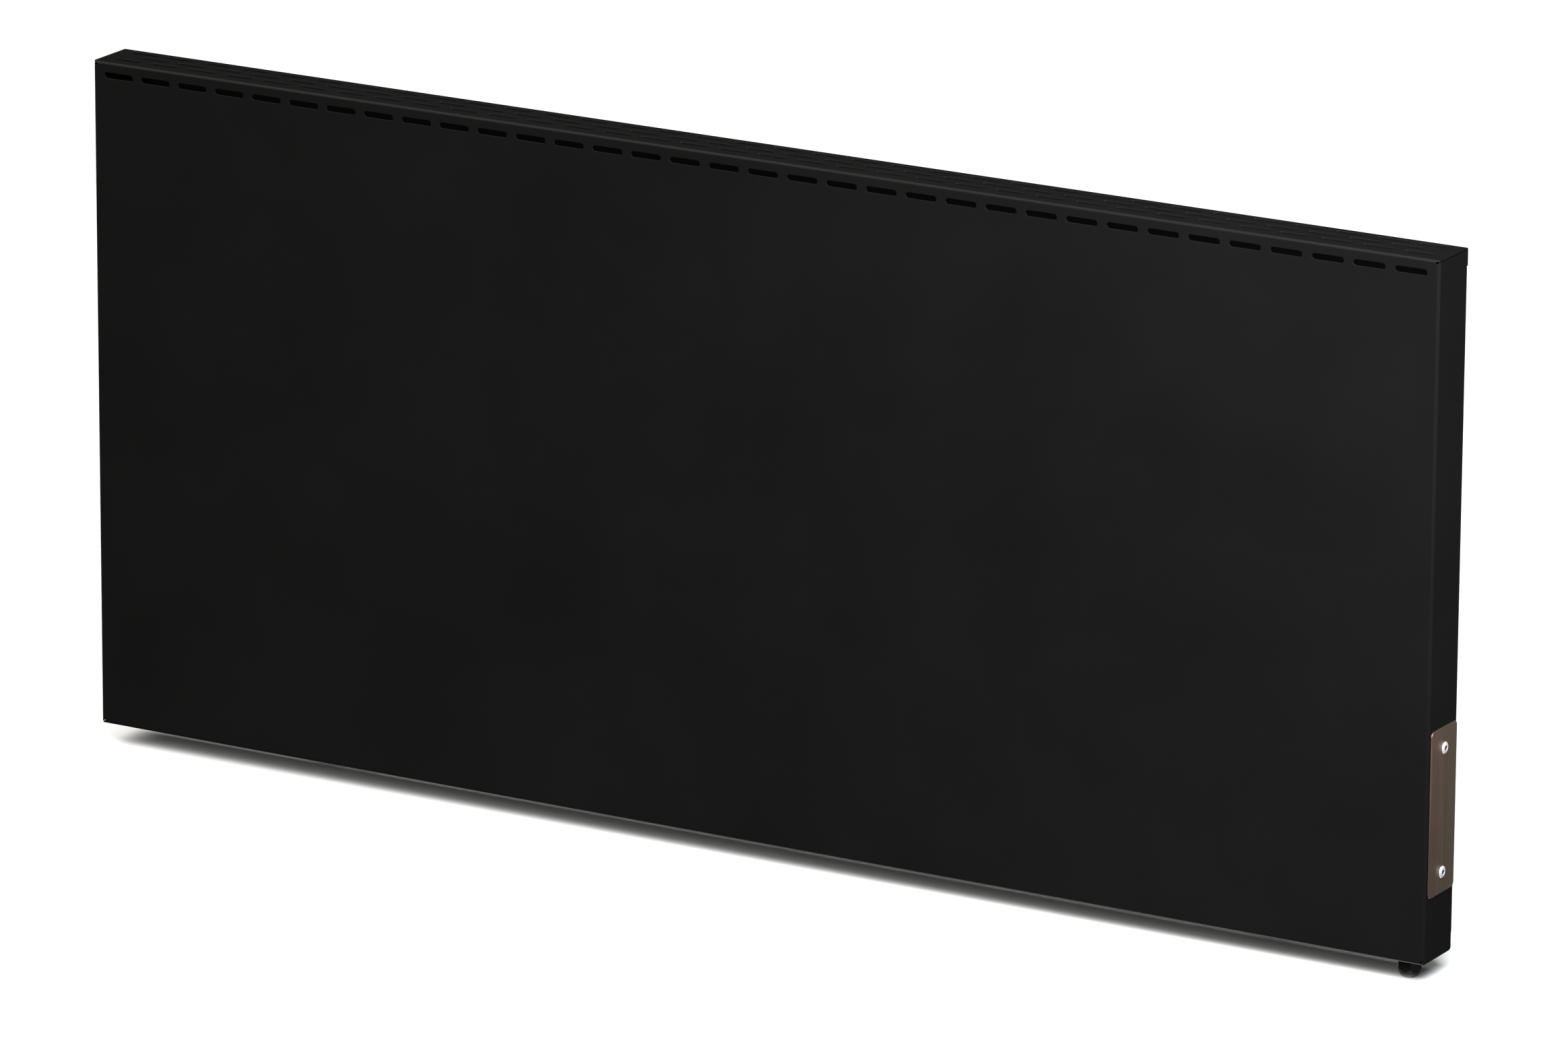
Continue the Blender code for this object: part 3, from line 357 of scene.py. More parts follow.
FINISH = {
    "black_powder_coat": powder_coat(),
    "zinc_plated_steel": zinc(),
    "zinc_screw": zinc("zinc_screw", (0.40, 0.40, 0.39), 900, (0.34, 0.46)),
    "brushed_nameplate": brushed_plate(),
    "rivet_aluminium": rivet_metal(),
    "mandrel_steel_painted_shade": mandrel_steel_painted_shade(),
    "black_nylon": moulded("black_nylon", (0.010, 0.011, 0.0105), (0.017, 0.018, 0.0175), 0.50, specular=0.22),
    "black_rubber": moulded("black_rubber", (0.013, 0.013, 0.013), (0.024, 0.024, 0.023), 0.78, 420, 0.25),
    "mill_aluminium": mill_aluminium(),
    "grey_ceramic": ceramic("grey_ceramic", (0.44, 0.42, 0.39), (0.20, 0.19, 0.18), 0.74, 420),
    "white_ceramic": ceramic("white_ceramic", (0.80, 0.78, 0.73), (0.58, 0.55, 0.50), 0.30, 600),
    "mineral_wool": wool(),
    "phenolic": moulded("phenolic", (0.030, 0.020, 0.016), (0.060, 0.040, 0.030), 0.42),
    "lead_brown": lead("lead_brown", (0.15, 0.055, 0.022)),
    "lead_blue": lead("lead_blue", (0.02, 0.08, 0.36)),
    "lead_green": lead("lead_green", (0.06, 0.28, 0.05), (0.72, 0.62, 0.05)),
    "brass": brass(),
}


# ---- mesh helpers -----------------------------------------------------------------------------
def finished(name, mesh, slot, body="heater", replaces=(), where=None):
    obj = bpy.data.objects.new(name, mesh)
    bpy.context.scene.collection.objects.link(obj)
    if where is not None:
        obj.matrix_world = where
    if not mesh.materials:
        mesh.materials.append(FINISH[slot])
    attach(obj, body)
    if replaces:
        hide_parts(*replaces)
    return obj


def loop_area(loop):
    return 0.5 * sum(a[0] * b[1] - b[0] * a[1] for a, b in zip(loop, loop[1:] + loop[:1]))


def anticlockwise(loop):
    return loop if loop_area(loop) > 0 else loop[::-1]


def offset(loop, distance):
    """The anticlockwise loop moved inwards by distance, with mitred corners."""
    made = []
    count = len(loop)
    for i in range(count):
        a, b, c = loop[i - 1], loop[i], loop[(i + 1) % count]
        d1 = Vector((b[0] - a[0], b[1] - a[1])).normalized()
        d2 = Vector((c[0] - b[0], c[1] - b[1])).normalized()
        n1, n2 = Vector((-d1.y, d1.x)), Vector((-d2.y, d2.x))
        n = n1 + n2
        if n.length < 0.3:
            n = n1
        scale = 1 / max(0.45, n.normalized().dot(n1))
        n = n.normalized() * distance * scale
        made.append((b[0] + n.x, b[1] + n.y))
    return made


def obround(cx, cy, length, width, steps=9):
    """Outline of a slot with round ends, its long side along the first axis."""
    r, reach = width / 2, (length - width) / 2
    return [(cx + side * (reach + r * math.cos(a)), cy + side * r * math.sin(a))
            for side in (1, -1)
            for a in [math.radians(-90 + 180 * i / steps) for i in range(steps + 1)]]


def circle(cx, cy, radius, steps=28):
    return [(cx + radius * math.cos(2 * PI * i / steps), cy + radius * math.sin(2 * PI * i / steps))
            for i in range(steps)]


def inside(point, loop):
    x, y = point
    odd = False
    for (ax, ay), (bx, by) in zip(loop, loop[1:] + loop[:1]):
        if (ay > y) != (by > y) and x < (bx - ax) * (y - ay) / (by - ay) + ax:
            odd = not odd
    return odd


def split_at(loop, us, vs):
    """The loop with a point added wherever it crosses u = one of us or v = one of vs."""
    made = []
    for a, b in zip(loop, loop[1:] + loop[:1]):
        cuts = set()
        for axis, lines in ((0, us), (1, vs)):
            for line in lines:
                span = b[axis] - a[axis]
                if abs(span) > 1e-9:
                    t = (line - a[axis]) / span
                    if 1e-4 < t < 1 - 1e-4:
                        cuts.add(round(t, 9))
        made.append(a)
        made += [(a[0] + (b[0] - a[0]) * t, a[1] + (b[1] - a[1]) * t) for t in sorted(cuts)]
    return made


def sheet_part(name, outline, holes, thickness, place, us=(), vs=(), guides=(), edge=EDGE, curved=None):
    """A closed sheet-metal mesh: a flat pattern with holes, given its thickness and softened edges, then
    carried into space by place(u, v, depth). us and vs are fold lines of the pattern, guides are extra
    lines across the folds, and curved(u, v) says where the sheet is folding, so its faces shade smooth."""
    outline = split_at(anticlockwise(outline), us, vs)
    loops = [outline] + [anticlockwise(h)[::-1] for h in holes]
    insets = [offset(loop, edge) for loop in loops]      # a clockwise hole grows, so this is always into the metal
    points, edges = [], []
    for loop in insets:
        start = len(points)
        points += loop
        edges += [(start + i, start + (i + 1) % len(loop)) for i in range(len(loop))]
    for a, b in guides:
        edges.append((len(points), len(points) + 1))
        points += [a, b]
    # the triangulation works in millimetres so that its own tolerance suits the pattern
    out, _, faces, came_from, _, _ = delaunay_2d_cdt([Vector((x / MM, y / MM)) for x, y in points], edges, [], 0, 1e-5)
    out = [(p.x * MM, p.y * MM) for p in out]
    hole_boxes = [(min(x for x, _ in h), max(x for x, _ in h), min(y for _, y in h), max(y for _, y in h), h)
                  for h in insets[1:]]
    kept = []
    for face in faces:
        cx = sum(out[i][0] for i in face) / len(face)
        cy = sum(out[i][1] for i in face) / len(face)
        if not inside((cx, cy), insets[0]):
            continue
        if any(x0 < cx < x1 and y0 < cy < y1 and inside((cx, cy), h) for x0, x1, y0, y1, h in hole_boxes):
            continue
        kept.append(face)
    bm = bmesh.new()
    layers = []
    for depth in (0.0, thickness):
        layers.append([bm.verts.new(place(x, y, depth)) for x, y in out])
    index_of = {}
    for new, olds in enumerate(came_from):
        for old in olds:
            index_of[old] = new
    smooth = []
    for face in kept:
        cx = sum(out[i][0] for i in face) / len(face)
        cy = sum(out[i][1] for i in face) / len(face)
        bends = bool(curved and curved(cx, cy))
        for layer, order in ((layers[0], face), (layers[1], face[::-1])):
            made = bm.faces.new([layer[i] for i in order])
            made.smooth = bends
    steps = (30, 60, 90)
    start = 0
    for loop, inner in zip(loops, insets):
        count = len(loop)
        rings = [[layers[0][index_of[start + i]] for i in range(count)]]
        for side in (0, 1):
            for angle in (steps if side == 0 else steps[::-1]):
                s, c = math.sin(math.radians(angle)), math.cos(math.radians(angle))
                depth = edge * (1 - c) if side == 0 else thickness - edge * (1 - c)
                rings.append([bm.verts.new(place(q[0] + (p[0] - q[0]) * s, q[1] + (p[1] - q[1]) * s, depth))
                              for p, q in zip(loop, inner)])
        rings.append([layers[1][index_of[start + i]] for i in range(count)])
        for a, b in zip(rings, rings[1:]):
            for i in range(count):
                j = (i + 1) % count
                made = bm.faces.new((a[j], a[i], b[i], b[j]))
                made.smooth = True
        start += count
    loose = [v for v in bm.verts if not v.link_faces]
    bmesh.ops.delete(bm, geom=loose, context="VERTS")
    bmesh.ops.recalc_face_normals(bm, faces=bm.faces)
    mesh = bpy.data.meshes.new(name)
    bm.to_mesh(mesh)
    bm.free()
    return mesh


def fold_path(sections, start, heading):
    """Returns (place, marks, total): place(s, depth) is a point of a folded strip in the plane, where s runs along its
    outer face and depth goes into the sheet. sections are ("flat", length) or ("bend", radius, +1 or -1): +1 folds
    towards the sheet's depth side about a centre radius below the outer face, -1 away from it about a centre above it."""
    pieces, at, turn, s = [], Vector(start), math.radians(heading), 0.0
    for section in sections:
        ahead = Vector((math.cos(turn), math.sin(turn)))
        below = Vector((math.sin(turn), -math.cos(turn)))      # to the right of the heading
        if section[0] == "flat":
            pieces.append(("flat", s, s + section[1], at.copy(), turn))
            at = at + ahead * section[1]
            s += section[1]
        else:
            radius, way = section[1], section[2]
            centre = at + below * radius * way
            length = radius * PI / 2
            pieces.append(("bend", s, s + length, centre.copy(), turn, radius, way))
            turn -= way * PI / 2
            below = Vector((math.sin(turn), -math.cos(turn)))
            at = centre - below * radius * way
            s += length

    def place(t, depth):
        piece = next((p for p in pieces if t <= p[2] + 1e-9), pieces[-1])
        if piece[0] == "flat":
            _, s0, _, origin, angle = piece
            ahead = Vector((math.cos(angle), math.sin(angle)))
            below = Vector((math.sin(angle), -math.cos(angle)))
            return origin + ahead * (t - s0) + below * depth
        _, s0, _, centre, angle, radius, way = piece
        angle -= way * (t - s0) / radius
        below = Vector((math.sin(angle), -math.cos(angle)))
        return centre - below * (radius - depth) if way > 0 else centre + below * (radius + depth)

    marks = [(p[1], p[2]) for p in pieces if p[0] == "bend"]
    return place, marks, s


def fold_lines(marks, steps=8):
    return [a + (b - a) * i / steps for a, b in marks for i in range(steps + 1)]


def lathe(name, profile, segments=48, axis="Z", smooth=32, at=(0, 0, 0)):
    """A solid of revolution of a closed or pole-to-pole (radius, height) profile."""
    bm = bmesh.new()
    rings = []
    for r, h in profile:
        if r < 1e-9:
            rings.append([bm.verts.new((0, 0, h))])
        else:
            rings.append([bm.verts.new((r * math.cos(2 * PI * i / segments), r * math.sin(2 * PI * i / segments), h))
                          for i in range(segments)])
    pairs = list(zip(rings, rings[1:]))
    if all(r > 1e-9 for r, _ in profile):
        pairs.append((rings[-1], rings[0]))
    for a, b in pairs:
        for i in range(segments):
            j = (i + 1) % segments
            if len(a) == 1 and len(b) == 1:
                continue
            if len(a) == 1:
                bm.faces.new((a[0], b[i], b[j]))
            elif len(b) == 1:
                bm.faces.new((a[i], b[0], a[j]))
            else:
                bm.faces.new((a[i], b[i], b[j], a[j]))
    turn = {"Z": Matrix.Identity(4), "Y": Matrix.Rotation(math.radians(-90), 4, "X"),      # height runs to +Y
            "X": Matrix.Rotation(math.radians(90), 4, "Y")}[axis]                           # height runs to +X
    bm.transform(Matrix.Translation(at) @ turn)
    bmesh.ops.recalc_face_normals(bm, faces=bm.faces)
    return to_mesh(name, bm, smooth)


def to_mesh(name, bm, smooth=None):
    mesh = bpy.data.meshes.new(name)
    bm.to_mesh(mesh)
    bm.free()
    if smooth:
        mesh.shade_smooth()
        mesh.set_sharp_from_angle(angle=math.radians(smooth))
    return mesh


def arc(cx, cy, radius, start, end, steps):
    """Points (cx + r cos, cy + r sin) for angles in degrees."""
    return [(cx + radius * math.cos(math.radians(start + (end - start) * i / steps)),
             cy + radius * math.sin(math.radians(start + (end - start) * i / steps))) for i in range(steps + 1)]


def cut_mesh(mesh, cutter_bm, smooth=None):
    """mesh less the solid in cutter_bm, as a new mesh."""
    scene = bpy.context.scene.collection
    target = bpy.data.objects.new("cut_target", mesh)
    scene.objects.link(target)
    tool_mesh = bpy.data.meshes.new("cut_tool")
    bmesh.ops.recalc_face_normals(cutter_bm, faces=cutter_bm.faces)
    cutter_bm.to_mesh(tool_mesh)
    cutter_bm.free()
    tool = bpy.data.objects.new("cut_tool", tool_mesh)
    scene.objects.link(tool)
    modifier = target.modifiers.new("cut", "BOOLEAN")
    modifier.operation = "DIFFERENCE"
    modifier.solver = "EXACT"
    modifier.object = tool
    bpy.context.view_layer.update()
    made = bpy.data.meshes.new_from_object(target.evaluated_get(bpy.context.evaluated_depsgraph_get()))
    bpy.data.objects.remove(target)
    bpy.data.objects.remove(tool)
    made.name = mesh.name
    if smooth:
        made.shade_smooth()
        made.set_sharp_from_angle(angle=math.radians(smooth))
    return made


def prism(bm, outline, origin, u, v, depth):
    origin, u, v, depth = Vector(origin), Vector(u), Vector(v), Vector(depth)
    near = [bm.verts.new(origin + u * a + v * b) for a, b in outline]
    far = [bm.verts.new(p.co + depth) for p in near]
    bm.faces.new(near)
    bm.faces.new(list(reversed(far)))
    for i in range(len(near)):
        j = (i + 1) % len(near)
        bm.faces.new((near[i], far[i], far[j], near[j]))


# ---- front casing: the unfolded blank with its slots, folded round the front face ---------------
FLANGE = (Y_LIP_BACK - Y_FRONT) - BEND - LIP_BEND
ARM = [("bend", BEND, 1), ("flat", FLANGE), ("bend", LIP_BEND, 1), ("flat", LIP - LIP_BEND)]
arm_place, arm_marks, ARM_LENGTH = fold_path(ARM, (0.0, 0.0), 0.0)   # (out from the front's flat, -depth from the front)
U0 = X_END - BEND
V1, V0 = Z_TOP - BEND, Z_BOTTOM + BEND
RELIEF = 0.95 * MM
SIDE_DROP = SHEET + 0.5 * MM              # the side flange stops this far inside the upper and lower faces
BEND_ARC = BEND * PI / 2


def place_casing(u, v, depth):
    """Pattern to space. The pattern's u and v are X and Z over the flat of the front face."""
    if abs(u) > U0 and V0 - 1.2 * MM < v < V1 + 1.2 * MM and abs(u) - U0 >= max(v - V1, V0 - v, 0) - 1e-9:
        p = arm_place(abs(u) - U0, depth)
        return (math.copysign(U0 + p.x, u), Y_FRONT - p.y, v)
    if v > V1:
        p = arm_place(v - V1, depth)
        return (u, Y_FRONT - p.y, V1 + p.x)
    if v < V0:
        p = arm_place(V0 - v, depth)
        return (u, Y_FRONT - p.y, V0 - p.x)
    return (u, Y_FRONT + depth, v)


def corner_outline(flange_end):
    """Upper right corner of the blank from the end of the right-hand lip to the end of the upper lip, as offsets
    from the corner of the front's flat. flange_end is how far inside the end face the upper flange stops."""
    s1 = BEND_ARC
    s2 = s1 + FLANGE
    side_top = BEND - SIDE_DROP                                    # the side flange's free edge
    lip_top = -(LIP - BEND) - 0.5 * MM
    points = [(ARM_LENGTH, lip_top), (s2 + 0.1 * MM, lip_top), (s2 + 0.1 * MM, side_top)]
    first = math.degrees(math.asin(side_top / RELIEF))
    points += [(RELIEF * math.cos(math.radians(a)), RELIEF * math.sin(math.radians(a)))
               for a in (first, 0, -22.5, -45, -67.5, -90, -112.5, -135, -157.5, -180, -202.5, -225, -247.5, -270, -292.5, -310)]
    steps = 10
    for k in range(1, steps + 1):
        theta = PI / 2 * k / steps
        u, v = BEND * math.sin(theta), BEND * theta
        u = min(u, BEND - flange_end)
        if math.hypot(u, v) > RELIEF + 0.12 * MM:
            points.append((u, v))
    points += [(BEND - flange_end, ARM_LENGTH)]
    return points


upper, lower = corner_outline(0.0), corner_outline(0.9 * MM)
blank = [(U0 + a, V1 + b) for a, b in upper]
blank += [(-U0 - a, V1 + b) for a, b in upper[::-1]]
blank += [(-U0 - a, V0 - b) for a, b in lower]
blank += [(U0 + a, V0 - b) for a, b in lower[::-1]]

holes = []
for i in range(SLOT_COUNT):
    x = (i - (SLOT_COUNT - 1) / 2) * SLOT_PITCH
    holes.append(obround(x, Z_TOP - FRONT_SLOT_DROP, SLOT_LENGTH, SLOT_WIDTH))
for row, drop in enumerate(TOP_ROWS):
    stagger = row % 2
    v = V1 + BEND_ARC + (drop - BEND)
    for i in range(SLOT_COUNT - stagger):
        x = (i + 0.5 * stagger - (SLOT_COUNT - 1) / 2) * SLOT_PITCH
        holes.append(obround(x, v, SLOT_LENGTH, SLOT_WIDTH))
for row, drop in enumerate(INLET_ROWS):
    stagger = row % 2
    v = V0 - BEND_ARC - (drop - BEND)
    for i in range(2, SLOT_COUNT - 2 - stagger):
        x = (i + 0.5 * stagger - (SLOT_COUNT - 1) / 2) * SLOT_PITCH
        if abs(x - EARTH_X) < 22 * MM and abs(Y_FRONT + drop - EARTH_Y) < 8 * MM:
            continue
        holes.append(obround(x, v, SLOT_LENGTH, SLOT_WIDTH))
gland_low, gland_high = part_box("gland_body")
GLAND_X, GLAND_Y = (gland_low.x + gland_high.x) / 2, (gland_low.y + gland_high.y) / 2
holes.append(circle(GLAND_X, V0 - BEND_ARC - (GLAND_Y - Y_FRONT - BEND), 6.5 * MM, 36))
RIVETS = []
for word in ("upper", "lower"):
    a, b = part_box("nameplate_rivet_" + word)
    RIVETS.append((word, (a.y + b.y) / 2, (a.z + b.z) / 2))
    holes.append(circle(U0 + BEND_ARC + ((a.y + b.y) / 2 - Y_FRONT - BEND), (a.z + b.z) / 2, 2.3 * MM, 20))

fold_u = [U0 + s for s in fold_lines(arm_marks)]
fold_v_up = [V1 + s for s in fold_lines(arm_marks)]
fold_v_down = [V0 - s for s in fold_lines(arm_marks)]
guides = []
reach = 0.45 * MM
for s in fold_lines(arm_marks):
    in_first = s <= BEND_ARC + 1e-9
    # across the right and left arms
    top = V1 + (BEND - SIDE_DROP if in_first else -(LIP - BEND) - 0.5 * MM) - reach
    bottom = V0 - (BEND - SIDE_DROP if in_first else -(LIP - BEND) - 0.5 * MM) + reach
    if s < RELIEF + reach:
        top, bottom = V1 - RELIEF - reach, V0 + RELIEF + reach
    for side in (-1, 1):
        guides.append(((side * (U0 + s), bottom), (side * (U0 + s), top)))
    # across the upper and lower arms
    for edge_v, way, trim in ((V1, 1, 0.0), (V0, -1, 0.9 * MM)):
        wide = U0 + (min(BEND * math.sin(min(s / BEND, PI / 2)), BEND - trim) if in_first else BEND - trim) - reach
        if s < RELIEF + reach:
            wide = U0 - RELIEF - reach
        guides.append(((-wide, edge_v + way * s), (wide, edge_v + way * s)))


def casing_folds(u, v):
    s = max(abs(u) - U0, v - V1, V0 - v)
    return any(a < s < b for a, b in arm_marks)


casing_mesh = sheet_part("casing_skin", blank, holes, SHEET, place_casing,
                         [side * u for u in fold_u for side in (-1, 1)], fold_v_up + fold_v_down, guides,
                         curved=casing_folds)
finished("casing_skin", casing_mesh, "black_powder_coat", replaces=["front_casing"])


# ---- rear cover: thin sheet with three pressed beads ---------------------------------------------
cover_low, cover_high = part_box("rear_cover")
COVER = 0.7 * MM
RIB_X, RIB_HALF, RIB_RISE = (-250 * MM, 0.0, 250 * MM), 12 * MM, 2.45 * MM
RIB_Z = (-325 * MM, -25 * MM)


def bead(x, z):
    rise = 0.0
    for cx in RIB_X:
        nearest = min(max(z, RIB_Z[0] + RIB_HALF), RIB_Z[1] - RIB_HALF)
        d = math.hypot(x - cx, z - nearest)
        t = min(max((RIB_HALF - d) / (4.2 * MM), 0), 1)
        rise = max(rise, RIB_RISE * t * t * (3 - 2 * t))
    return rise


cols = [cover_low.x, cover_low.x + 0.3 * MM]
for cx in RIB_X:
    cols += [cx - 13 * MM + k * 0.65 * MM for k in range(41)]
cols += [cover_high.x - 0.3 * MM, cover_high.x]
rows = [cover_low.z, cover_low.z + 0.3 * MM]
rows += [RIB_Z[0] - 1 * MM + k * 0.65 * MM for k in range(22)]
rows += [RIB_Z[0] + 14 * MM + (RIB_Z[1] - RIB_Z[0] - 28 * MM) * k / 6 for k in range(7)][1:-1]
rows += [RIB_Z[1] + 1 * MM - k * 0.65 * MM for k in range(21, -1, -1)]
rows += [cover_high.z - 0.3 * MM, cover_high.z]
bm = bmesh.new()
sides = []
for back in (True, False):
    grid = []
    for j, z in enumerate(rows):
        line = []
        for i, x in enumerate(cols):
            rise = bead(x, z)
            rim = i in (0, len(cols) - 1) or j in (0, len(rows) - 1)
            y = Y_BACK + rise if back else Y_BACK - COVER + rise * 0.93
            if rim:
                y += -0.2 * MM if back else 0.2 * MM
            line.append(bm.verts.new((x, y, z)))
        grid.append(line)
    sides.append(grid)
for grid, flip in ((sides[0], True), (sides[1], False)):
    for a, b in zip(grid, grid[1:]):
        for i in range(len(cols) - 1):
            quad = (a[i], a[i + 1], b[i + 1], b[i])
            bm.faces.new(quad[::-1] if flip else quad)
border = [(0, i) for i in range(len(cols))] + [(j, len(cols) - 1) for j in range(1, len(rows))]
border += [(len(rows) - 1, i) for i in range(len(cols) - 2, -1, -1)] + [(j, 0) for j in range(len(rows) - 2, 0, -1)]
for (j0, i0), (j1, i1) in zip(border, border[1:] + border[:1]):
    bm.faces.new((sides[0][j0][i0], sides[0][j1][i1], sides[1][j1][i1], sides[1][j0][i0]))
bmesh.ops.recalc_face_normals(bm, faces=bm.faces)
for face in bm.faces:
    face.smooth = len({round(v.co.y, 6) for v in face.verts}) > 1
cover_mesh = bpy.data.meshes.new("cover_skin")
bm.to_mesh(cover_mesh)
bm.free()
finished("cover_skin", cover_mesh, "black_powder_coat", replaces=["rear_cover"])


# ---- pan-head screws with a cross recess ----------------------------------------------------------
def screw_mesh(name, radius, height, shank, length):
    """Seat at the origin, head towards +Y."""
    dome = [(radius * math.cos(math.radians(a)) ** 0.55, height * (0.28 + 0.72 * math.sin(math.radians(a))))
            for a in (0, 12, 25, 40, 55, 70, 82)]
    profile = [(0, -length), (shank * 0.4, -length + 0.6 * MM), (shank, -length + 1.6 * MM), (shank, -0.02 * MM),
               (radius * 0.96, 0), (radius, 0.1 * MM)] + dome + [(0, height)]
    made = lathe(name, profile, 40, "Y", 35)
    bm = bmesh.new()
    arm, half, taper = radius * 0.56, radius * 0.115, 0.62
    cross = [(arm, -half), (arm, half), (half, half), (half, arm), (-half, arm), (-half, half),
             (-arm, half), (-arm, -half), (-half, -half), (-half, -arm), (half, -arm), (half, -half)]
    top, bottom = height + 0.2 * MM, height * 0.35
    far = [bm.verts.new((a, top, b)) for a, b in cross]
    near = [bm.verts.new((a * taper, bottom, b * taper)) for a, b in cross]
    bm.faces.new(far)
    bm.faces.new(near[::-1])
    for i in range(len(cross)):
        j = (i + 1) % len(cross)
        bm.faces.new((far[i], near[i], near[j], far[j]))
    return cut_mesh(made, bm, 35)


cover_screw = screw_mesh("cover_screw_skin", 3.68 * MM, 2.25 * MM, 1.4 * MM, 7.4 * MM)
turns = (12, 71, 33, 55, 8, 80, 41, 24)
for n in range(1, 9):
    a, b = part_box(f"cover_screw_{n}")
    centre = ((a.x + b.x) / 2, b.y - 2.3 * MM, (a.z + b.z) / 2)
    spin = Matrix.Translation(centre) @ Matrix.Rotation(math.radians(turns[n - 1]), 4, "Y")
    finished(f"cover_screw_skin_{n}", cover_screw, "zinc_screw", replaces=[f"cover_screw_{n}"], where=spin)

# ---- wall buffers and their screws -----------------------------------------------------------------
for word in ("left", "right"):
    a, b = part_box("wall_buffer_" + word)
    cx, cz, y0, length = (a.x + b.x) / 2, (a.z + b.z) / 2, a.y, b.y - a.y
    profile = [(2.4 * MM, 0), (9.7 * MM, 0), (9.95 * MM, 0.25 * MM), (9.95 * MM, 1.6 * MM), (9.7 * MM, 2.0 * MM)]
    profile += arc(9.4 * MM, 3.4 * MM, 1.2 * MM, -90, -172, 5)[1:]
    profile += [(7.75 * MM, length - 2.2 * MM)]
    profile += arc(6.75 * MM, length - 1.0 * MM, 1.0 * MM, 10, 90, 5)
    profile += [(5.4 * MM, length), (5.0 * MM, length - 0.4 * MM), (5.0 * MM, length - 8 * MM), (2.4 * MM, length - 8 * MM)]
    mesh = lathe("buffer_skin_" + word, profile, 56, "Y", 38, (cx, y0, cz))
    finished("buffer_skin_" + word, mesh, "black_rubber", replaces=["wall_buffer_" + word])
    sa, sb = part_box("buffer_screw_" + word)
    mesh = screw_mesh("buffer_screw_skin_" + word, 3.95 * MM, 2.35 * MM, 1.85 * MM, (sb.y - 2.4 * MM) - sa.y - 0.6 * MM)
    finished("buffer_screw_skin_" + word, mesh, "zinc_screw", replaces=["buffer_screw_" + word],
             where=Matrix.Translation((cx, sb.y - 2.4 * MM, cz)) @ Matrix.Rotation(math.radians(30), 4, "Y"))

# ---- hangers: folded hooks with rounded corners ------------------------------------------------------
HOOK_SHEET, HOOK_BEND = 1.5 * MM, 2.3 * MM
for word in ("left", "right"):
    a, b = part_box("hanger_" + word)
    cx, half = (a.x + b.x) / 2, (b.x - a.x) / 2
    drop = 12.5 * MM
    place_hook, marks, total = fold_path(
        [("flat", b.z - a.z - HOOK_BEND), ("bend", HOOK_BEND, 1), ("flat", b.y - a.y - 2 * HOOK_BEND),
         ("bend", HOOK_BEND, 1), ("flat", drop - HOOK_BEND)], (a.y, a.z), 90.0)

    def place_hanger(u, v, depth, cx=cx, place_hook=place_hook):
        p = place_hook(v, depth)
        return (cx + u, p.x, p.y)

    r = 3.5 * MM
    outline = (arc(half - r, r, r, -90, 0, 6) + arc(half - r, total - r, r, 0, 90, 6)
               + arc(-half + r, total - r, r, 90, 180, 6) + arc(-half + r, r, r, 180, 270, 6))
    rivet_v = [((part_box(f"hanger_rivet_{n}")[0].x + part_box(f"hanger_rivet_{n}")[1].x) / 2 - cx,
                (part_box(f"hanger_rivet_{n}")[0].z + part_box(f"hanger_rivet_{n}")[1].z) / 2 - a.z) for n in range(1, 5)]
    hook_holes = [circle(u, v, 2.2 * MM, 20) for u, v in rivet_v if abs(u) < half]
    lines = fold_lines(marks)
    mesh = sheet_part("hanger_skin_" + word, outline, hook_holes, HOOK_SHEET, place_hanger, (), lines,
                      [((-half + 0.5 * MM, s), (half - 0.5 * MM, s)) for s in lines], 0.25 * MM,
                      curved=lambda u, v, marks=marks: any(m0 < v < m1 for m0, m1 in marks))
    finished("hanger_skin_" + word, mesh, "black_powder_coat", replaces=["hanger_" + word])

for n in range(1, 5):
    a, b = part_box(f"hanger_rivet_{n}")
    cx, cz = (a.x + b.x) / 2, (a.z + b.z) / 2
    seat = b.y - 1.2 * MM
    profile = [(0, seat + 0.15 * MM), (1.1 * MM, seat + 0.15 * MM), (1.3 * MM, seat + 0.95 * MM), (1.6 * MM, b.y)]
    profile += [(2.3 * MM, b.y - 0.06 * MM), (3.1 * MM, b.y - 0.3 * MM), (3.7 * MM, b.y - 0.7 * MM),
                (3.97 * MM, seat + 0.15 * MM), (3.9 * MM, seat), (2.0 * MM, seat), (2.0 * MM, a.y + 2.6 * MM),
                (2.9 * MM, a.y + 2.3 * MM), (2.9 * MM, a.y + 0.7 * MM), (2.3 * MM, a.y + 0.1 * MM), (0, a.y)]
    mesh = lathe(f"hanger_rivet_skin_{n}", profile, 40, "Y", 35, (cx, 0, cz))
    finished(f"hanger_rivet_skin_{n}", mesh, "rivet_aluminium", replaces=[f"hanger_rivet_{n}"])

# ---- wall rail ---------------------------------------------------------------------------------------
a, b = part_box("wall_rail")
RAIL_SHEET, RAIL_BEND = 1.5 * MM, 2.3 * MM
SHELF = 20 * MM
LIP_FACE = a.y + RAIL_SHEET                       # wall-side face of the upright lip
place_profile, marks, total = fold_path(
    [("flat", SHELF - RAIL_BEND - a.z), ("bend", RAIL_BEND, 1), ("flat", -LIP_FACE - RAIL_BEND - 0.8 * MM),
     ("bend", 0.8 * MM, -1), ("flat", b.z - SHELF - 0.8 * MM)], (0.0, a.z), 90.0)


def place_rail(u, v, depth):
    p = place_profile(v, depth)
    return (u, -p.x, p.y)


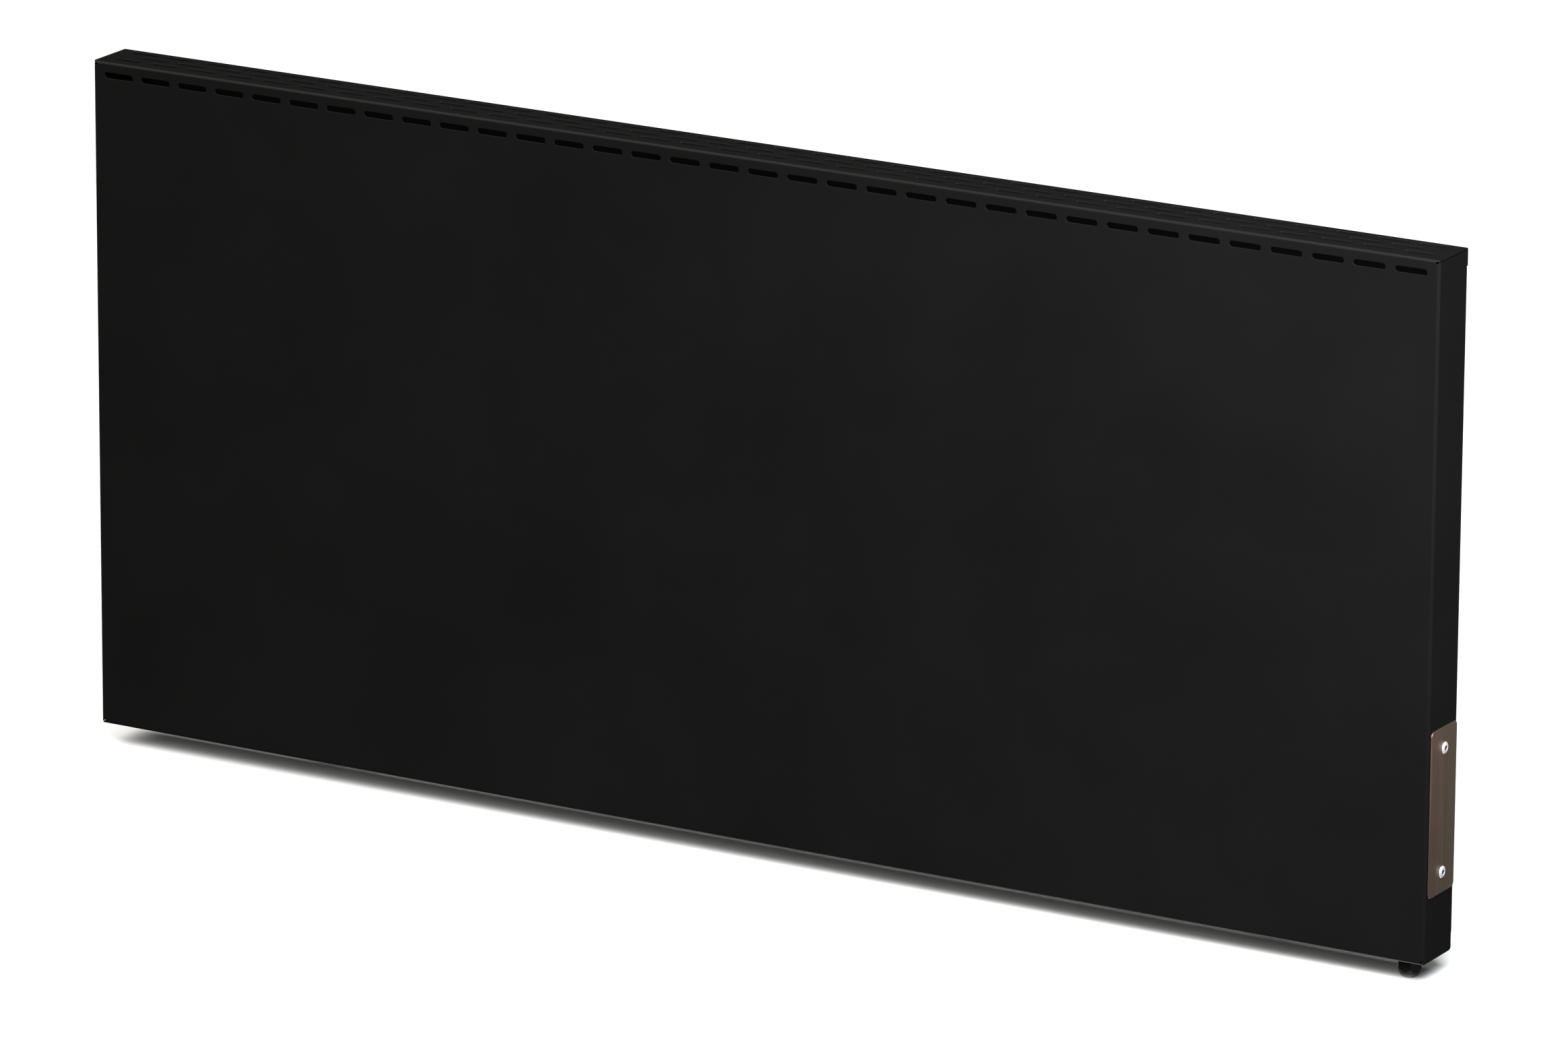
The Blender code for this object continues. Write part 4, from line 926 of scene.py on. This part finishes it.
r = 2.5 * MM
outline = (arc(b.x - r, r, r, -90, 0, 6) + arc(b.x - r, total - r, r, 0, 90, 6)
           + arc(a.x + r, total - r, r, 90, 180, 6) + arc(a.x + r, r, r, 180, 270, 6))
rail_holes = [obround(x * MM, -2 * MM - a.z, 14 * MM, 6.5 * MM, 12) for x in (-260, -90, 90, 260)]
lines = fold_lines(marks)
mesh = sheet_part("wall_rail_skin", outline, rail_holes, RAIL_SHEET, place_rail, (), lines,
                  [((a.x + 0.5 * MM, s), (b.x - 0.5 * MM, s)) for s in lines], 0.25 * MM,
                  curved=lambda u, v: any(m0 < v < m1 for m0, m1 in marks))
finished("wall_rail_skin", mesh, "zinc_plated_steel", "wall_mounting", ["wall_rail"])

# ---- nameplate and its blind rivets --------------------------------------------------------------------
a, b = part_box("nameplate")
cy, cz = (a.y + b.y) / 2, (a.z + b.z) / 2
hw, hh, r = (b.y - a.y) / 2, (b.z - a.z) / 2, 3.5 * MM
outline = (arc(hw - r, -hh + r, r, -90, 0, 8) + arc(hw - r, hh - r, r, 0, 90, 8)
           + arc(-hw + r, hh - r, r, 90, 180, 8) + arc(-hw + r, -hh + r, r, 180, 270, 8))
mesh = sheet_part("nameplate_skin", outline, [circle(y - cy, z - cz, 2.25 * MM, 32) for _, y, z in RIVETS], b.x - a.x,
                  lambda u, v, depth: (b.x - depth, cy + u, cz + v), edge=0.2 * MM)
finished("nameplate_skin", mesh, "brushed_nameplate", replaces=["nameplate"])

for word, y, z in RIVETS:
    a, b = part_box("nameplate_rivet_" + word)
    seat = b.x - 1.15 * MM
    profile = [(0, seat - 1.6 * MM), (1.60 * MM, seat - 1.6 * MM), (1.60 * MM, seat + 0.85 * MM), (1.66 * MM, seat + 1.02 * MM),
               (1.84 * MM, b.x)]
    profile += [(2.25 * MM, seat + 1.13 * MM), (2.7 * MM, seat + 1.03 * MM), (3.25 * MM, seat + 0.86 * MM),
                (3.68 * MM, seat + 0.60 * MM), (3.92 * MM, seat + 0.30 * MM), (3.96 * MM, seat + 0.08 * MM), (3.88 * MM, seat),
                (2.0 * MM, seat), (2.0 * MM, a.x + 3.4 * MM), (2.85 * MM, a.x + 3.0 * MM), (2.8 * MM, a.x + 0.8 * MM),
                (2.3 * MM, a.x + 0.1 * MM), (0, a.x)]
    mesh = lathe("nameplate_rivet_skin_" + word, profile, 56, "X", 35, (0, y, z))
    finished("nameplate_rivet_skin_" + word, mesh, "rivet_aluminium", replaces=["nameplate_rivet_" + word])
    # the pin left in the rivet: a torn collar standing just below the head, near black with painted shade for the hole
    profile = [(0, seat - 1.58 * MM), (1.58 * MM, seat - 1.58 * MM), (1.58 * MM, seat + 0.84 * MM), (1.46 * MM, seat + 0.90 * MM),
               (1.26 * MM, seat + 0.72 * MM), (1.12 * MM, seat - 0.5 * MM), (0.5 * MM, seat - 0.72 * MM), (0, seat - 0.66 * MM)]
    mesh = lathe("nameplate_rivet_pin_" + word, profile, 40, "X", 35, (0, y, z))
    finished("nameplate_rivet_pin_" + word, mesh, "mandrel_steel_painted_shade")


# ---- cable gland ------------------------------------------------------------------------------------------
def hex_part(name, across, outer, inner, segments=72, turn=0.0, smooth=24):
    """A turned part whose outer radius is held inside a hexagon. outer is (height, greatest radius) from top to
    bottom and inner is (radius, height) from bottom to top; both together make a closed section."""
    bm = bmesh.new()
    half = across / 2
    rings = []

    def hexagon_radius(angle):
        local = (angle - turn) % (PI / 3) - PI / 6
        return half / math.cos(local)

    for h, r in outer:
        rings.append([bm.verts.new((min(hexagon_radius(t), r) * math.cos(t), min(hexagon_radius(t), r) * math.sin(t), h))
                      for t in [2 * PI * i / segments + turn for i in range(segments)]])
    for r, h in inner:
        rings.append([bm.verts.new((r * math.cos(t), r * math.sin(t), h))
                      for t in [2 * PI * i / segments + turn for i in range(segments)]])
    for ra, rb in zip(rings, rings[1:] + rings[:1]):
        for i in range(segments):
            j = (i + 1) % segments
            bm.faces.new((ra[i], rb[i], rb[j], ra[j]))
    bmesh.ops.recalc_face_normals(bm, faces=bm.faces)
    bm.transform(Matrix.Translation((GLAND_X, GLAND_Y, Z_BOTTOM)))
    return to_mesh(name, bm, smooth)


corner = 7.5 * MM / math.cos(PI / 6)
top, bottom = -0.3 * MM, -4.3 * MM
body_outer = [(top, corner - 0.75 * MM), (top - 0.35 * MM, corner - 0.2 * MM), (top - 0.6 * MM, corner),
              (bottom + 0.6 * MM, corner), (bottom + 0.35 * MM, corner - 0.2 * MM), (bottom, corner - 0.75 * MM)]
body_inner = [(5.45 * MM, bottom), (5.4 * MM, -8.5 * MM), (3.95 * MM, -8.5 * MM), (3.95 * MM, 9 * MM), (5.9 * MM, 9 * MM),
              (6.15 * MM, 8.6 * MM)]
thread = []
z = 8.2
while z > 0.4:
    thread += [(6.15 * MM, z * MM), (5.75 * MM, (z - 0.35) * MM), (5.75 * MM, (z - 0.5) * MM), (6.15 * MM, (z - 0.85) * MM)]
    z -= 1.0
body_inner += thread + [(6.1 * MM, top)]
finished("gland_body_skin", hex_part("gland_body_skin", 15 * MM, body_outer, body_inner), "black_nylon", replaces=["gland_body"])

dome_top, dome_bottom = -4.6 * MM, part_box("gland_dome_nut")[0].z - Z_BOTTOM
dome_outer = [(dome_top, corner - 0.55 * MM), (dome_top - 0.3 * MM, corner - 0.1 * MM), (dome_top - 0.5 * MM, corner),
              (-8.2 * MM, corner), (-9.0 * MM, corner - 0.35 * MM), (-10.0 * MM, corner - 0.9 * MM), (-11.2 * MM, 7.15 * MM),
              (-12.2 * MM, 6.75 * MM), (-13.1 * MM, 6.2 * MM), (-13.9 * MM, 5.6 * MM), (-14.5 * MM, 5.05 * MM),
              (-14.85 * MM, 4.7 * MM), (dome_bottom, 4.3 * MM)]
dome_inner = [(3.9 * MM, dome_bottom), (3.55 * MM, dome_bottom + 0.3 * MM), (3.55 * MM, -12.9 * MM), (4.4 * MM, -12.9 * MM),
              (5.2 * MM, -11.7 * MM), (5.2 * MM, -9.0 * MM), (5.7 * MM, -8.7 * MM), (5.75 * MM, dome_top)]
finished("gland_dome_skin", hex_part("gland_dome_skin", 15 * MM, dome_outer, dome_inner), "black_nylon",
         replaces=["gland_dome_nut"])
profile = [(4.85 * MM, -8.85 * MM), (4.85 * MM, -11.5 * MM), (4.2 * MM, -12.5 * MM), (3.7 * MM, -12.55 * MM),
           (3.52 * MM, -12.3 * MM), (3.52 * MM, -9.1 * MM), (3.8 * MM, -8.85 * MM)]
finished("gland_seal_skin", lathe("gland_seal_skin", profile, 48, "Z", 35, (GLAND_X, GLAND_Y, Z_BOTTOM)), "black_rubber",
         replaces=["gland_seal"])

# ---- finishes of the CAD nodes that stay ------------------------------------------------------------------
STAYS = {
    "gland_locknut": "black_nylon",
    "heat_spreader_left": "mill_aluminium", "heat_spreader_right": "mill_aluminium", "reflector_sheet": "mill_aluminium",
    "heating_element_left": "grey_ceramic", "heating_element_right": "grey_ceramic",
    "insulation_mat_left": "mineral_wool", "insulation_mat_right": "mineral_wool",
    "element_rail_upper": "zinc_plated_steel", "element_rail_lower": "zinc_plated_steel",
    "element_post_left_1": "brass", "element_post_left_2": "brass", "element_post_right_1": "brass", "element_post_right_2": "brass",
    "thermal_cutout": "phenolic", "cutout_bracket": "zinc_plated_steel", "terminal_bracket": "zinc_plated_steel",
    "terminal_block": "white_ceramic", "terminal_screw_1": "brass", "terminal_screw_2": "brass", "terminal_screw_3": "brass",
    "earth_stud": "zinc_plated_steel", "earth_washer": "zinc_plated_steel", "earth_nut": "brass", "earth_lug": "brass",
    "lead_live": "lead_brown", "lead_switched": "lead_brown", "lead_link": "lead_brown", "lead_neutral": "lead_blue",
    "lead_earth": "lead_green",
}
for name, node in nodes.items():
    if node.hide_render:
        continue
    finish = FINISH[STAYS[name]]
    if node.data.materials:
        for index in range(len(node.data.materials)):
            node.data.materials[index] = finish
    else:
        node.data.materials.append(finish)

# ---- floor, lights and camera --------------------------------------------------------------------------------
FLOOR_Z = cad_box[0].z - 0.2 * MM
bm = bmesh.new()
for ring, radius in enumerate((0.0, 1.5, 4.0, 12.0, 40.0)):
    if ring == 0:
        last = [bm.verts.new((0, 0, FLOOR_Z))]
        continue
    now = [bm.verts.new((radius * math.cos(2 * PI * i / 48), radius * math.sin(2 * PI * i / 48), FLOOR_Z)) for i in range(48)]
    for i in range(48):
        j = (i + 1) % 48
        bm.faces.new((last[0], now[i], now[j]) if len(last) == 1 else (last[i], now[i], now[j], last[j]))
    last = now
floor_mesh = to_mesh("studio_floor", bm)
floor = bpy.data.objects.new("studio_floor", floor_mesh)
bpy.context.scene.collection.objects.link(floor)
paper = bpy.data.materials.new("pale_floor")
paper.use_nodes = True
tree = paper.node_tree
tree.nodes.clear()
out = tree.nodes.new("ShaderNodeOutputMaterial")
seen, unseen, choose = (tree.nodes.new("ShaderNodeBsdfDiffuse"), tree.nodes.new("ShaderNodeBsdfDiffuse"),
                        tree.nodes.new("ShaderNodeMixShader"))
seen.inputs["Color"].default_value = (0.95, 0.95, 0.95, 1)
unseen.inputs["Color"].default_value = (0.025, 0.025, 0.025, 1)
rays = tree.nodes.new("ShaderNodeLightPath")
tree.links.new(rays.outputs["Is Camera Ray"], choose.inputs["Fac"])
tree.links.new(unseen.outputs[0], choose.inputs[1])
tree.links.new(seen.outputs[0], choose.inputs[2])
# from below the floor is clear, so that the underside can be looked at
clear, one_sided = tree.nodes.new("ShaderNodeBsdfTransparent"), tree.nodes.new("ShaderNodeMixShader")
tree.links.new(tree.nodes.new("ShaderNodeNewGeometry").outputs["Backfacing"], one_sided.inputs["Fac"])
tree.links.new(choose.outputs[0], one_sided.inputs[1])
tree.links.new(clear.outputs[0], one_sided.inputs[2])
tree.links.new(one_sided.outputs[0], out.inputs["Surface"])
floor_mesh.materials.append(paper)

world = bpy.data.worlds.new("studio")
bpy.context.scene.world = world
world.use_nodes = True
tree = world.node_tree
tree.nodes.clear()
out = tree.nodes.new("ShaderNodeOutputWorld")
seen, unseen, choose = (tree.nodes.new("ShaderNodeBackground"), tree.nodes.new("ShaderNodeBackground"),
                        tree.nodes.new("ShaderNodeMixShader"))
seen.inputs["Color"].default_value = (1, 1, 1, 1)
seen.inputs["Strength"].default_value = 1.0
unseen.inputs["Color"].default_value = (1, 1, 1, 1)
unseen.inputs["Strength"].default_value = 0.055
rays = tree.nodes.new("ShaderNodeLightPath")
tree.links.new(rays.outputs["Is Camera Ray"], choose.inputs["Fac"])
tree.links.new(unseen.outputs[0], choose.inputs[1])
tree.links.new(seen.outputs[0], choose.inputs[2])
tree.links.new(choose.outputs[0], out.inputs["Surface"])


# the fills that reach the back and the underside pass the floor by, so the shadow on it stays as the overhead makes it
passed_by = bpy.data.collections.new("floor_passed_by")
passed_by.objects.link(floor)
for entry in passed_by.collection_objects:
    entry.light_linking.link_state = "EXCLUDE"


def softbox(name, place, target, width, height, power, colour=(1, 1, 1), lights_floor=True):
    light = bpy.data.lights.new(name, "AREA")
    light.shape = "RECTANGLE"
    light.size, light.size_y = width, height
    light.energy = power
    light.color = colour
    obj = bpy.data.objects.new(name, light)
    obj.location = place
    obj.rotation_euler = (Vector(target) - Vector(place)).to_track_quat("-Z", "Y").to_euler()
    bpy.context.scene.collection.objects.link(obj)
    if not lights_floor:
        obj.light_linking.receiver_collection = passed_by
        obj.light_linking.blocker_collection = passed_by
    return obj


sky = bpy.data.lights.new("overhead", "SUN")
sky.energy = 4.3
sky.color = (1.0, 0.985, 0.95)
sky.angle = math.radians(76)
overhead = bpy.data.objects.new("overhead", sky)
overhead.rotation_euler = Vector((0.33, 0.60, -1.0)).to_track_quat("-Z", "Y").to_euler()
bpy.context.scene.collection.objects.link(overhead)
softbox("right_fill", (0.98, -0.78, 0.54), (0.30, -0.06, -0.10), 0.7, 0.5, 33, (0.955, 0.97, 1.0))
softbox("side_fill", (1.9, 0.30, 0.06), (0.5, -0.03, -0.08), 0.6, 0.5, 8.5, lights_floor=False)
softbox("back_fill", (-0.25, 2.0, -0.30), (-0.1, 0, -0.22), 1.4, 0.68, 26, lights_floor=False)
softbox("back_left_fill", (-1.7, 0.72, -0.48), (-0.4, 0, -0.22), 1.1, 0.9, 24, lights_floor=False)
softbox("under_fill", (0.1, 0.3, -1.9), (0, -0.03, -0.385), 1.4, 1.0, 24, lights_floor=False)

camera = bpy.data.cameras.new("studio_camera")
camera.lens = 247.4
camera.sensor_width = 36
camera.sensor_fit = "HORIZONTAL"
camera.clip_start, camera.clip_end = 0.05, 200
view = bpy.data.objects.new("studio_camera", camera)
view.location = (3.389, -5.835, 1.773)
view.rotation_euler = (math.radians(73.8025), math.radians(-0.3135), math.radians(30.2531))
bpy.context.scene.collection.objects.link(view)
bpy.context.scene.camera = view
bpy.context.scene.view_settings.view_transform = "Standard"
bpy.context.scene.view_settings.look = "None"

bpy.context.view_layer.update()
